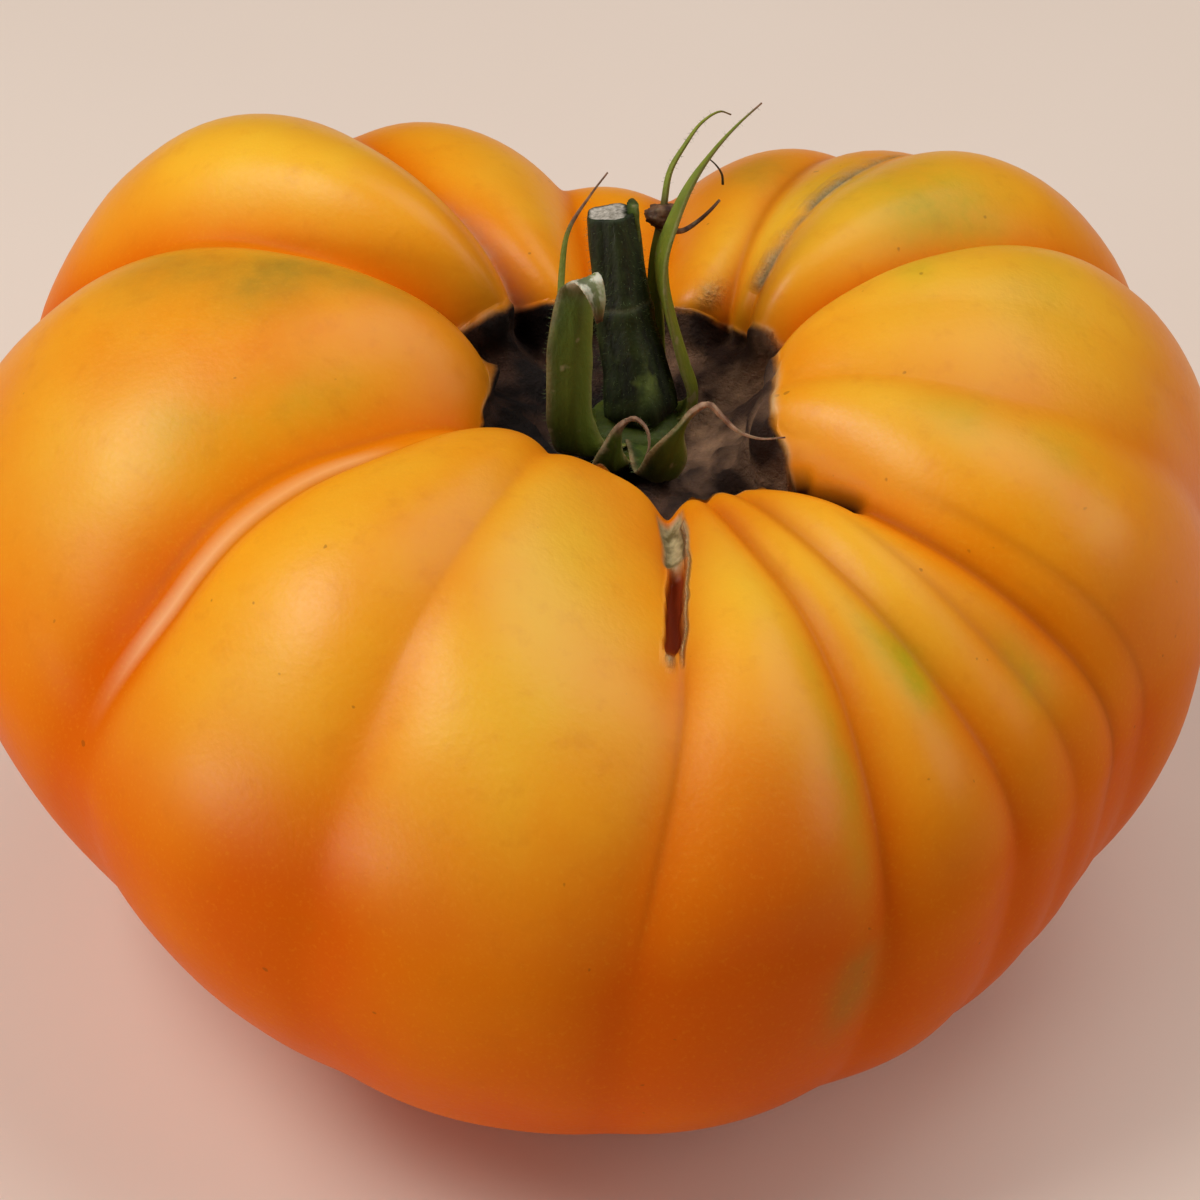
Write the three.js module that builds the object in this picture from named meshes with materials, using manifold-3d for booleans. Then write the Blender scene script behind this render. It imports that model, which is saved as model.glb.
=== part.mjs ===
// A large ribbed beefsteak tomato, as picked, with its cut stem and its dried calyx.
// Millimetres, +Z up. The origin is the centre of the small flat spot that the fruit rests on.
// Azimuths are degrees seen from above, from +X towards +Y; the fruit's front faces -Y.

import * as THREE from 'three';
import { mergeVertices } from 'three/addons/utils/BufferGeometryUtils.js';
import Module from 'manifold-3d';

const wasm = await Module();
wasm.setup();

// Outline of the fruit, one value every 30 degrees of azimuth
const BELLY_RADIUS = [58, 62, 59, 50, 61, 66, 65.5, 62, 60, 59, 57.5, 57];
const BELLY_HEIGHT = [42, 42, 41, 40, 43, 47, 46, 43, 39, 38, 38, 40];
const CREST_RADIUS = [28, 31, 32, 30, 33, 35, 31, 30, 28, 29, 28, 27];
const CREST_HEIGHT = [71, 73, 68, 64, 70, 78, 73, 70, 69, 63, 65, 69];
const CAVITY_RADIUS = [12, 12, 13, 13, 13, 13, 12, 12, 12, 13, 13, 11];
const LOWER_FULLNESS = [2.1, 2.1, 2.1, 2.1, 2.1, 2.0, 1.8, 1.8, 2.0, 2.2, 2.2, 2.2];
const UPPER_FULLNESS = 2.1;

const FOOT_RADIUS = 12;
const CAVITY_WALL_HEIGHT = 62;
const CAVITY_FLOOR_HEIGHT = 54;
const AXIS_SHIFT = 4;
const AXIS_SHIFT_HEIGHT = 60;

// Levels up the skin: 0 centre of the foot, 1 its edge, 2 belly, 3 crest, 4 cavity wall, 5 cavity floor
const FOOT_EDGE = 1;
const BELLY = 2;
const CREST = 3;
const CAVITY_WALL = 4;
const CAVITY_FLOOR = 5;
const FLAT_EDGE = 0.9;
const DEPTH_LEVELS = [FLAT_EDGE, 1.45, BELLY, 2.5, CREST, CAVITY_WALL, 4.6];

// Creases between the lobes, in order of azimuth. `at` is the azimuth at the foot, the belly,
// the crest and the cavity wall; `depth` runs from the underside up over the belly, the shoulder
// and the crest to the wall; `width` is in degrees; a small `soft` makes a sharp fold.
const CREASES = [
  { at: [-145, -148, -155, -158], width: 11, depth: [1, 2.5, 6.5, 6, 5], soft: 0.3 },
  { at: [-141, -145, -149, -151], width: 3, depth: [0, 0.3, 1.5, 1.3, 0], soft: 0.4 },
  { at: [-120, -118, -118, -124], width: 8, depth: [0.4, 1.5, 3, 1.5, 1.5], soft: 0.3 },
  { at: [-90, -89, -83, -79], width: 7, depth: [0.5, 1.5, 2.6, 3.5, 4], soft: 0.3 },
  { at: [-66, -65, -64, -65], width: 6, depth: [0.6, 2.6, 4, 3.2, 2], soft: 0.2 },
  { at: [-49, -49, -55, -55], width: 6, depth: [0.6, 2.4, 3.5, 2.5, 1.5], soft: 0.2 },
  { at: [-38, -40, -47, -50], width: 5, depth: [0.5, 1.6, 2, 0, 0], soft: 0.3 },
  { at: [-30, -33, -40.5, -45], width: 8, depth: [0.8, 2, 4, 6, 7], soft: 0.15 },
  { at: [-24, -27, -36, -40], width: 5, depth: [1, 2, 1, 0, 0], soft: 0.5 },
  { at: [-4, -3, -14.5, -18], width: 8, depth: [1, 2, 2.5, 1.8, 0.3], soft: 0.4 },
  { at: [0, 1, 4, 3], width: 6, depth: [0, 0.5, 1, 0.5, 0], soft: 0.5 },
  { at: [20, 24, 28, 24], width: 8, depth: [2, 4, 7, 8, 6], soft: 0.18 },
  { at: [50, 50, 53, 46], width: 6, depth: [1, 2, 2, 2, 3], soft: 0.25 },
  { at: [60, 60, 64, 56], width: 6, depth: [1, 2, 3, 3, 4], soft: 0.25 },
  { at: [84, 84, 84, 84], width: 8, depth: [2, 4, 5, 4, 4], soft: 0.18 },
  { at: [101, 101, 100, 103], width: 8, depth: [2, 4, 5, 5, 5], soft: 0.18 },
  { at: [122, 123, 127, 128], width: 8, depth: [2, 3, 4, 6, 6], soft: 0.18 },
  { at: [164, 162, 159, 157], width: 9, depth: [2, 5, 8, 9, 7], soft: 0.18 },
];

// Fineness of the fruit's skin
const COLUMN_STEP = 3.3;
const COLUMN_CROWDING = 0.6;
const RINGS_UNDERSIDE = 10;
const RINGS_SHOULDER = 9;
const RINGS_CAVITY_EDGE = 8;
const RINGS_CAVITY_FLOOR = 4;

// The cut stem: a centre line, and how thick it is along its length
const STEM_LINE = [[4.4, 2.3, 57.9], [3.9, 3.6, 61.5], [3, 5, 65.8], [2.3, 6.6, 71], [1.8, 8, 75.9]];
const STEM_RADIUS = [3.4, 2.9, 2.6, 2.4, 2.35];
const STEM_RIDGES = 5;
const STEM_RIDGE_HEIGHT = 0.07;
const STEM_KNUCKLE_AT = 0.5;
const STEM_KNUCKLE_WIDTH = 0.05;
const STEM_KNUCKLE_HEIGHT = 0.15;
const STEM_SIDES = 20;
const STEM_RINGS = 14;
const SPUR_LINE = [[4, 7.2, 72.5], [3.9, 7.7, 75], [3.8, 8.1, 76.9]];
const SPUR_WIDTH = 1.9;

// The receptacle that the sepals grow from
const RECEPTACLE_CENTRE = [4.2, 2];
const RECEPTACLE_PROFILE = [[0, 55], [2.4, 55.2], [4.4, 55.9], [4.2, 56.6], [3.2, 57.2], [0, 57.2]];
const RECEPTACLE_SIDES = 20;

// Sepals. `line` is the midrib from the receptacle to the tip; `across` is the way that the blade's
// width lies at the root and at the tip, so that it cups towards the stem; `taper` is the stretch
// of the length over which the blade narrows to a dried thread.
const SEPALS = [
  {
    line: [[3.2, 1.2, 56.1], [0.9, -2, 56.2], [-0.8, -3.6, 57.2], [-1.7, -4.1, 60], [-1.9, -3.4, 65.2],
      [-1.6, -1.9, 70], [-1.1, -0.3, 73.2], [-0.3, -1.2, 74.7], [0.5, -2.3, 73.4], [0.7, -2.6, 71.2]],
    across: [[1, 0, 0], [0.8, 0.6, 0]], width: 4.4, taper: [0.65, 1.1], cup: 0.22,
  },
  {
    line: [[3, 2.5, 56.1], [-1, 1.6, 57], [-2.6, 0.6, 60.5], [-2.8, 0.6, 67.5], [-2.7, 3, 72.9],
      [-2.1, 4.5, 76.3], [-0.1, 6.5, 78.8], [1.5, 8, 80.3]],
    across: [[0, -1, 0], [0, -1, 0.3]], width: 2.2, taper: [0.1, 0.5], cup: 0.3,
  },
  {
    line: [[4.6, 4, 56.1], [3.6, 7.6, 56.8], [2.4, 10, 59.5], [1.6, 11.2, 63], [1.2, 10.6, 66.2]],
    across: [[-1, -0.2, 0], [-1, 0, 0]], width: 3.8, taper: [0.3, 1.1], cup: 0.25,
  },
  {
    line: [[5, 3.4, 56.1], [6, 6.6, 57], [6, 7.8, 61], [5.9, 8.5, 67], [6, 9.5, 70.4], [6.7, 11, 74.2],
      [7.3, 12.9, 77], [8.7, 14.6, 78.8], [10.2, 16.4, 80], [11.9, 18, 80.2], [13, 19, 79.2]],
    across: [[-1, 0.2, 0], [-0.8, 0.6, 0]], width: 2.1, taper: [0.2, 0.65], cup: 0.25,
  },
  {
    line: [[5.4, 2.4, 56.1], [9, 2.8, 56.9], [9.4, 3.1, 59.2], [8.6, 3.5, 62], [7.4, 4.3, 66.2],
      [6.7, 5.3, 69.6], [6.7, 6.5, 72.2], [7.7, 8.5, 74.7], [9.3, 11, 77.1], [11.4, 14, 78.6],
      [13.6, 17, 79.4], [15.9, 20, 79.8]],
    across: [[0.2, 1, 0], [-0.8, 0.6, 0]], width: 2.8, taper: [0.35, 0.8], cup: 0.2,
  },
  {
    line: [[4.9, 0.4, 56], [5.4, -4.2, 56.2], [5.8, -7.4, 57.2], [6.1, -9, 58.4], [6.9, -9.9, 61.2],
      [8, -9.8, 64.3], [9.2, -9.4, 66.1], [10.6, -9.2, 66.8], [11.8, -9.7, 65.8], [13.2, -10.5, 64.8],
      [15.2, -11.4, 64.6], [17.5, -12, 65.2]],
    across: [[1, 0, -0.3], [0.6, 0.6, -0.3]], width: 4.2, taper: [0.44, 0.62], cup: 0.15,
  },
  {
    line: [[3.8, 1, 56.1], [2.6, -4.2, 56.1], [1.7, -6.7, 58], [2, -6.9, 60.4], [2.7, -6.5, 62.2],
      [3.9, -6.4, 63], [5, -6.9, 62.3], [5.3, -7.6, 60.8], [4.9, -8.1, 59.6]],
    across: [[1, 0, 0], [0.7, 0.7, 0]], width: 3.4, taper: [0.42, 0.74], cup: 0.15,
  },
];
const SEPAL_THICKNESS = 0.9;
const SEPAL_EDGE_THICKNESS = 0.65;
const THREAD_THICKNESS = 0.64;
const SEPAL_RING_STEP = 1.7;
const SEPAL_SPANS = 4;

const COLOURS = {
  fruit: { color: 0xdb7a1c, roughness: 0.4 },
  stem: { color: 0x2c3a18, roughness: 0.75 },
  calyx: { color: 0x44521f, roughness: 0.8 },
};

function smoothstep(x) {
  const t = Math.min(Math.max(x, 0), 1);
  return t * t * (3 - 2 * t);
}

// Smooth ramps through the values given at a few levels
function rampThrough(levels, values, level) {
  let sum = values[0];
  for (let i = 1; i < levels.length; i += 1) {
    const part = (level - levels[i - 1]) / (levels[i] - levels[i - 1]);
    sum += (values[i] - values[i - 1]) * smoothstep(part);
  }
  return sum;
}

// Closed smooth curve through evenly spaced values round the fruit
function around(values, azimuth) {
  const count = values.length;
  const place = ((azimuth % 360 + 360) % 360) * count / 360;
  const i = Math.floor(place) % count;
  const t = place - Math.floor(place);
  const a = values[(i + count - 1) % count];
  const b = values[i];
  const c = values[(i + 1) % count];
  const d = values[(i + 2) % count];
  return b + 0.5 * t * ((c - a) + t * ((2 * a - 5 * b + 4 * c - d) + t * (3 * (b - c) + d - a)));
}

// The fruit without its creases: [distance from the axis, height] at a level of the skin
function smoothProfile(azimuth, level) {
  const belly = around(BELLY_RADIUS, azimuth);
  const bellyHeight = around(BELLY_HEIGHT, azimuth);
  const crest = around(CREST_RADIUS, azimuth);
  const crestHeight = around(CREST_HEIGHT, azimuth);
  const cavity = around(CAVITY_RADIUS, azimuth);
  const angle = (level % 1) * Math.PI / 2;
  if (level >= CAVITY_FLOOR) {
    return [0, CAVITY_FLOOR_HEIGHT];
  }
  if (level >= CAVITY_WALL) {
    const drop = (CAVITY_WALL_HEIGHT - CAVITY_FLOOR_HEIGHT) * Math.sin(angle);
    return [cavity * Math.cos(angle), CAVITY_WALL_HEIGHT - drop];
  }
  if (level >= CREST) {
    const rise = (crestHeight - CAVITY_WALL_HEIGHT) * Math.cos(angle);
    return [cavity + (crest - cavity) * (1 - Math.sin(angle)), CAVITY_WALL_HEIGHT + rise];
  }
  if (level >= BELLY) {
    const power = 2 / UPPER_FULLNESS;
    const radius = crest + (belly - crest) * Math.cos(angle) ** power;
    return [radius, bellyHeight + (crestHeight - bellyHeight) * Math.sin(angle) ** power];
  }
  if (level >= FOOT_EDGE) {
    const power = 2 / around(LOWER_FULLNESS, azimuth);
    const radius = FOOT_RADIUS + (belly - FOOT_RADIUS) * Math.sin(angle) ** power;
    return [radius, bellyHeight * (1 - Math.cos(angle) ** power)];
  }
  return [FOOT_RADIUS * level, 0];
}

function creaseAzimuth(crease, level) {
  return rampThrough([FOOT_EDGE, BELLY, CREST, CAVITY_WALL], crease.at, level);
}

// How far the creases draw the skin in
function creaseDepth(azimuth, level) {
  let sum = 0;
  for (const crease of CREASES) {
    const turn = azimuth - creaseAzimuth(crease, level);
    const away = (((turn + 180) % 360 + 360) % 360 - 180) / crease.width;
    const depth = rampThrough(DEPTH_LEVELS, [0, ...crease.depth, 0], level);
    sum += depth * Math.exp(crease.soft - Math.hypot(away, crease.soft));
  }
  return sum;
}

// A crease draws the skin in towards the middle of the flesh, below the crest and at belly height
function skinPoint(azimuth, level) {
  const [radius, height] = smoothProfile(azimuth, level);
  const inRadius = around(CREST_RADIUS, azimuth) - radius;
  const inHeight = around(BELLY_HEIGHT, azimuth) - height;
  const share = creaseDepth(azimuth, level) / Math.hypot(inRadius, inHeight);
  const r = radius + share * inRadius;
  const z = height + share * inHeight;
  const shift = AXIS_SHIFT * Math.min(z / AXIS_SHIFT_HEIGHT, 1);
  const angle = THREE.MathUtils.degToRad(azimuth);
  return [shift + r * Math.cos(angle), r * Math.sin(angle), z];
}

// Columns follow the creases, and crowd towards them: [crease before, crease after, share between]
function fruitColumns() {
  const columns = [];
  CREASES.forEach((crease, i) => {
    const next = CREASES[(i + 1) % CREASES.length];
    const lap = i + 1 < CREASES.length ? 0 : 360;
    const count = Math.max(1, Math.round((next.at[1] + lap - crease.at[1]) / COLUMN_STEP));
    for (let k = 0; k < count; k += 1) {
      const turn = 2 * Math.PI * k / count;
      const share = k / count - COLUMN_CROWDING * Math.sin(turn) / (2 * Math.PI);
      columns.push({ crease, next, lap, share });
    }
  });
  return columns;
}

function fruitLevels() {
  const levels = [FLAT_EDGE, FOOT_EDGE];
  const addBand = (from, rings) => {
    for (let i = 1; i <= rings; i += 1) {
      levels.push(from + i / rings);
    }
  };
  addBand(FOOT_EDGE, RINGS_UNDERSIDE);
  addBand(BELLY, RINGS_SHOULDER);
  addBand(CREST, RINGS_CAVITY_EDGE);
  for (let i = 1; i <= RINGS_CAVITY_FLOOR; i += 1) {
    levels.push(CAVITY_WALL + i / (RINGS_CAVITY_FLOOR + 1));
  }
  return levels;
}

// Closed surface through rings of points, with a fan at each end; the ring order sets the way out
function ringsToGeometry(rings, startPoint, endPoint) {
  const sides = rings[0].length;
  const points = [...rings.flat(), startPoint, endPoint];
  const start = points.length - 2;
  const end = points.length - 1;
  const last = (rings.length - 1) * sides;
  const faces = [];
  for (let k = 0; k < sides; k += 1) {
    const next = (k + 1) % sides;
    faces.push(start, next, k);
    for (let i = 0; i + 1 < rings.length; i += 1) {
      const low = i * sides;
      const high = low + sides;
      faces.push(low + k, low + next, high + next);
      faces.push(low + k, high + next, high + k);
    }
    faces.push(last + k, last + next, end);
  }
  const geometry = new THREE.BufferGeometry();
  geometry.setAttribute('position', new THREE.Float32BufferAttribute(points.flat(), 3));
  geometry.setIndex(faces);
  return geometry;
}

function fruitGeometry() {
  const columns = fruitColumns();
  const rings = fruitLevels().map((level) => columns.map(({ crease, next, lap, share }) => {
    const from = creaseAzimuth(crease, level);
    const to = creaseAzimuth(next, level) + lap;
    return skinPoint(from + (to - from) * share, level);
  }));
  return ringsToGeometry(rings, [0, 0, 0], skinPoint(0, CAVITY_FLOOR));
}

function curveThrough(points) {
  const places = points.map((point) => new THREE.Vector3(...point));
  return new THREE.CatmullRomCurve3(places, false, 'centripetal');
}

// Width and thickness directions of a blade at a place along its line
function bladeFrame(curve, across, t) {
  const along = curve.getTangentAt(t);
  const width = new THREE.Vector3(...across[0]).lerp(new THREE.Vector3(...across[1]), t);
  width.addScaledVector(along, -width.dot(along)).normalize();
  const inward = new THREE.Vector3().crossVectors(along, width);
  return { width, inward };
}

function sepalGeometry({ line, across, width, taper, cup }) {
  const curve = curveThrough(line);
  const ringCount = Math.ceil(curve.getLength() / SEPAL_RING_STEP);
  const rings = [];
  for (let i = 0; i <= ringCount; i += 1) {
    const t = i / ringCount;
    const centre = curve.getPointAt(t);
    const frame = bladeFrame(curve, across, t);
    const thread = smoothstep((t - taper[0]) / (taper[1] - taper[0]));
    const halfWidth = THREE.MathUtils.lerp(width, THREAD_THICKNESS, thread) / 2;
    const middle = THREE.MathUtils.lerp(SEPAL_THICKNESS, THREAD_THICKNESS, thread);
    const edge = THREE.MathUtils.lerp(SEPAL_EDGE_THICKNESS, THREAD_THICKNESS, thread);
    const pointAt = (u, side) => {
      const thickness = THREE.MathUtils.lerp(middle, edge, u * u);
      const lift = cup * halfWidth * u * u + side * thickness / 2;
      return centre.clone()
        .addScaledVector(frame.width, u * halfWidth)
        .addScaledVector(frame.inward, lift)
        .toArray();
    };
    const ring = [];
    for (let k = 0; k <= SEPAL_SPANS; k += 1) {
      ring.push(pointAt(2 * k / SEPAL_SPANS - 1, -1));
    }
    for (let k = SEPAL_SPANS; k >= 0; k -= 1) {
      ring.push(pointAt(2 * k / SEPAL_SPANS - 1, 1));
    }
    rings.push(ring);
  }
  return ringsToGeometry(rings, curve.getPointAt(0).toArray(), curve.getPointAt(1).toArray());
}

function stemGeometry() {
  const curve = curveThrough(STEM_LINE);
  const stations = STEM_RADIUS.map((_, i) => i / (STEM_RADIUS.length - 1));
  const rings = [];
  for (let i = 0; i <= STEM_RINGS; i += 1) {
    const t = i / STEM_RINGS;
    const centre = curve.getPointAt(t);
    const along = i === 0 ? new THREE.Vector3(0, 0, 1) : curve.getTangentAt(t);
    const sideways = new THREE.Vector3(0, 1, 0).cross(along).normalize();
    const back = new THREE.Vector3().crossVectors(along, sideways);
    const knuckle = Math.exp(-(((t - STEM_KNUCKLE_AT) / STEM_KNUCKLE_WIDTH) ** 2));
    const radius = rampThrough(stations, STEM_RADIUS, t) + STEM_KNUCKLE_HEIGHT * knuckle;
    const ring = [];
    for (let k = 0; k < STEM_SIDES; k += 1) {
      const turn = 2 * Math.PI * k / STEM_SIDES;
      const reach = radius * (1 + STEM_RIDGE_HEIGHT * Math.cos(STEM_RIDGES * turn));
      ring.push(centre.clone()
        .addScaledVector(sideways, reach * Math.cos(turn))
        .addScaledVector(back, reach * Math.sin(turn))
        .toArray());
    }
    rings.push(ring);
  }
  return ringsToGeometry(rings, curve.getPointAt(0).toArray(), curve.getPointAt(1).toArray());
}

function receptacleGeometry() {
  const profile = RECEPTACLE_PROFILE.map(([radius, height]) => new THREE.Vector2(radius, height));
  const geometry = new THREE.LatheGeometry(profile, RECEPTACLE_SIDES);
  geometry.rotateX(Math.PI / 2);
  geometry.translate(RECEPTACLE_CENTRE[0], RECEPTACLE_CENTRE[1], 0);
  return geometry;
}

function toSolid(geometry) {
  const bare = geometry.clone();
  bare.deleteAttribute('normal');
  bare.deleteAttribute('uv');
  const merged = mergeVertices(bare, 1e-4);
  return new wasm.Manifold(new wasm.Mesh({
    numProp: 3,
    vertProperties: new Float32Array(merged.attributes.position.array),
    triVerts: new Uint32Array(merged.index.array),
  }));
}

function toGeometry(solid) {
  const mesh = solid.getMesh();
  const geometry = new THREE.BufferGeometry();
  geometry.setAttribute('position', new THREE.Float32BufferAttribute(mesh.vertProperties, 3));
  geometry.setIndex(Array.from(mesh.triVerts));
  return geometry;
}

// One solid from overlapping closed shapes
function fuse(geometries) {
  const solids = geometries.map(toSolid);
  return toGeometry(solids.reduce((whole, solid) => whole.add(solid)));
}

function stemWithSpur() {
  const spur = {
    line: SPUR_LINE, across: [[0.3, -1, 0], [0.3, -1, 0]], width: SPUR_WIDTH, taper: [0.9, 2], cup: 0.2,
  };
  return fuse([stemGeometry(), sepalGeometry(spur)]);
}

function calyx() {
  return fuse([receptacleGeometry(), ...SEPALS.map(sepalGeometry)]);
}

function piece(name, geometry) {
  geometry.computeVertexNormals();
  const material = new THREE.MeshStandardMaterial({ ...COLOURS[name], metalness: 0 });
  const mesh = new THREE.Mesh(geometry, material);
  mesh.name = name;
  return mesh;
}

const tomato = new THREE.Group();
tomato.add(piece('fruit', fruitGeometry()));
tomato.add(piece('calyx', calyx()));
tomato.add(piece('stem', stemWithSpur()));

export default tomato;
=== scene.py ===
import math
import random
from collections import namedtuple

import bpy
import numpy as np
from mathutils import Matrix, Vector, noise


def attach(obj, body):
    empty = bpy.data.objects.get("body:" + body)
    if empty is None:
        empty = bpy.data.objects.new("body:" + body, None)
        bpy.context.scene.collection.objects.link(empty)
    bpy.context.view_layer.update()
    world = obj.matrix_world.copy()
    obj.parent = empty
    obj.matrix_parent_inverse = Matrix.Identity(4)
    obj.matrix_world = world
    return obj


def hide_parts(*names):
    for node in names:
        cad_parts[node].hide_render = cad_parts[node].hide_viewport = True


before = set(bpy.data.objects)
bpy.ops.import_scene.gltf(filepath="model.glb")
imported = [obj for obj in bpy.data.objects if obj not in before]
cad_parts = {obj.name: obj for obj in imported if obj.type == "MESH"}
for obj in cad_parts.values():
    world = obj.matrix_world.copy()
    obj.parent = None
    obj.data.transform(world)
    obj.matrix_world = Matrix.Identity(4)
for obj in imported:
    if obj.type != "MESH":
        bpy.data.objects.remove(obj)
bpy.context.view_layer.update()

# A large ribbed beefsteak tomato with its cut stem and dried calyx. Lengths are in millimetres up to
# the point where a mesh is made, and azimuths are degrees seen from above, from +X towards +Y.
MM = 0.001

# Outline of the fruit, one value every 30 degrees of azimuth
BELLY_RADIUS = [58, 62, 59, 50, 61, 66, 65.5, 62, 60, 59, 57.5, 57]
BELLY_HEIGHT = [42, 42, 41, 40, 43, 47, 46, 43, 39, 38, 38, 40]
CREST_RADIUS = [28, 31, 32, 30, 33, 35, 31, 30, 28, 29, 28, 27]
CREST_HEIGHT = [71, 73, 68, 64, 70, 78, 73, 70, 69, 63, 65, 69]
CAVITY_RADIUS = [12, 12, 13, 13, 13, 13, 12, 12, 12, 13, 13, 11]
LOWER_FULLNESS = [2.1, 2.1, 2.1, 2.1, 2.1, 2.0, 1.8, 1.8, 2.0, 2.2, 2.2, 2.2]
UPPER_FULLNESS = 2.1

FOOT_RADIUS = 12
FOOT_CLEARANCE = 0.02
CAVITY_WALL_HEIGHT = 62
CAVITY_FLOOR_HEIGHT = 54
AXIS_SHIFT = 4
AXIS_SHIFT_HEIGHT = 60

# Levels up the skin: 0 centre of the foot, 1 its edge, 2 belly, 3 crest, 4 cavity wall, 5 cavity floor
FOOT_EDGE = 1
BELLY = 2
CREST = 3
CAVITY_WALL = 4
FLAT_EDGE = 0.9
CREASE_LEVELS = [FOOT_EDGE, BELLY, CREST, CAVITY_WALL]
DEPTH_LEVELS = [FLAT_EDGE, 1.45, BELLY, 2.5, CREST, CAVITY_WALL, 4.6]

# Creases between the lobes, in order of azimuth. `at` is the azimuth at the foot, the belly, the
# crest and the cavity wall; `depth` runs from the underside up to the wall; `width` is in degrees; a
# small `soft` makes a sharp fold.
Crease = namedtuple("Crease", "at width depth soft")
CREASES = {
    "left_front": Crease([-145, -148, -155, -158], 11, [1, 2.5, 6.5, 6, 5], 0.3),
    "left_minor": Crease([-141, -145, -149, -151], 3, [0, 0.3, 1.5, 1.3, 0], 0.4),
    "front": Crease([-120, -118, -118, -124], 8, [0.4, 1.5, 3, 1.5, 1.5], 0.3),
    "split": Crease([-90, -89, -83, -79], 7, [0.5, 1.5, 2.6, 3.5, 4], 0.3),
    "front_right_1": Crease([-66, -65, -64, -65], 6, [0.6, 2.6, 4, 3.2, 2], 0.2),
    "front_right_2": Crease([-49, -49, -55, -55], 6, [0.6, 2.4, 3.5, 2.5, 1.5], 0.2),
    "front_right_3": Crease([-38, -40, -47, -50], 5, [0.5, 1.6, 2, 0, 0], 0.3),
    "right_front": Crease([-30, -33, -40.5, -45], 8, [0.8, 2, 4, 6, 7], 0.15),
    "right_low": Crease([-24, -27, -36, -40], 5, [1, 2, 1, 0, 0], 0.5),
    "right_middle": Crease([-4, -3, -14.5, -18], 8, [1, 2, 2.5, 1.8, 0.3], 0.4),
    "right_upper": Crease([0, 1, 4, 3], 6, [0, 0.5, 1, 0.5, 0], 0.5),
    "right_back": Crease([20, 24, 28, 24], 8, [2, 4, 7, 8, 6], 0.18),
    "back_right_1": Crease([50, 50, 53, 46], 6, [1, 2, 2, 2, 3], 0.25),
    "back_right_2": Crease([60, 60, 64, 56], 6, [1, 2, 3, 3, 4], 0.25),
    "back_1": Crease([84, 84, 84, 84], 8, [2, 4, 5, 4, 4], 0.18),
    "back_2": Crease([101, 101, 100, 103], 8, [2, 4, 5, 5, 5], 0.18),
    "back_left": Crease([122, 123, 127, 128], 8, [2, 3, 4, 6, 6], 0.18),
    "left_back": Crease([164, 162, 159, 157], 9, [2, 5, 8, 9, 7], 0.18),
}

# Depth from which on a crease has its full painted shade and loses its gloss
FULL_CREASE_DEPTH = 5

# Fineness of the skin: degrees between columns, finer beside the crack, and rings in each band
COLUMN_STEP = 0.95
CRACK_COLUMN_STEP = 0.5
COLUMN_CROWDING = 0.6
RINGS_FOOT = 10
RINGS_UNDERSIDE = 46
RINGS_SHOULDER = 66
RINGS_CAVITY_EDGE = 60
RINGS_CAVITY_FLOOR = 20

# Sizes of the noise that shapes the cork and its wrinkles, bends the lobes and blotches the skin
CORK_LUMP_SIZE = 4.4
WRINKLE_SIZE = 2.6
LOBE_LUMP_SIZE = 17.0
BLOTCH_SIZE = 6.0
LOBE_UNEVENNESS = 0.28

# Level at which the skin gives way to cork, every 30 degrees, how ragged that edge is, and how far it
# dips in two creases
CORK_LEVEL = [3.82, 3.86, 3.98, 3.97, 3.95, 3.85, 3.88, 3.98, 4.0, 4.0, 3.92, 3.66]
CORK_RAGGED = 0.08
CORK_EDGE_SOFT = 0.07
CORK_DIPS = {"right_front": 0.25, "back_left": 0.12}
CORK_SMOOTH_FROM = 4.3
CORK_LUMPS = 1.2
CORK_WRINKLES = 0.5
TORN_RIM_AT = -4
TORN_RIM_SPREAD = 30
TORN_RIM_LEAST = 0.35
TORN_RIM_HALF_WIDTH = 0.022
TORN_RIM_HEIGHT = 0.2
LIT_GREY_CORK_AT = 15
LIT_GREY_CORK_SPREAD = 60

# The open crack along the split crease: levels of its lower and upper end and of its corky strip, and
# its path in azimuth
CRACK_LOW = 2.87
CRACK_HIGH = 3.3
CRACK_STRIP_HIGH = 3.62
CRACK_PATH_LEVELS = [2.85, 2.95, 3.05, 3.3, 3.5, 4]
CRACK_PATH_TURNS = [-85, -83.7, -82.7, -80.6, -79.3, -78.4]
CRACK_HALF_WIDTH = 0.72
CRACK_DEPTH = 1.7
CRACK_STRIP_HALF_WIDTH = 1.1
CRACK_LIP = 0.95
CRACK_LIP_HEIGHT = 0.3
CRACK_END = (-85.2, 2.85)
CRACK_END_SPREAD = (0.6, 0.022)
CRACK_END_HEIGHT = 0.15

# The gap in the crease right of the front, painted dark: partly cork, partly painted shade
GAP_LOW = 2.98
GAP_DEPTH = 1.6
GAP_TOP_LEVELS = [3, 3.2, 3.5, 3.85]
GAP_TOP_TURNS = [1.3, 1.6, 2.9, 5.6]
GAP_BOTTOM_TURN = -3

# Corky scars: a long one with a sunken core on a back crease, a short one by the cavity, and a pale
# streak down another crease. Offsets and half widths are in millimetres.
SCAR_SPAN = (2.72, 3.62)
SCAR_OFFSET = 0.2
SCAR_HALF_WIDTH = 0.9
SCAR_HEIGHT = 0.3
SCAR_CORE_HALF_WIDTH = 0.35
SCAR_CORE_DEPTH = 0.45
SHORT_SCAR = (63, 3.76)
SHORT_SCAR_SPREAD = (3.2, 0.12)
STREAK_SPAN = (3.15, 4.0)
STREAK_OFFSET = 0.6
STREAK_HALF_WIDTH = 1.3

# The thin fold in the deep crease at the left, pale partly as a painted highlight: degrees from the small
# crease beside it, and levels
FOLD_OFFSET = 1.1
FOLD_SPAN = (2.25, 3.15)
FOLD_HALF_WIDTH = 0.4
FOLD_HEIGHT = 0.32
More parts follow.
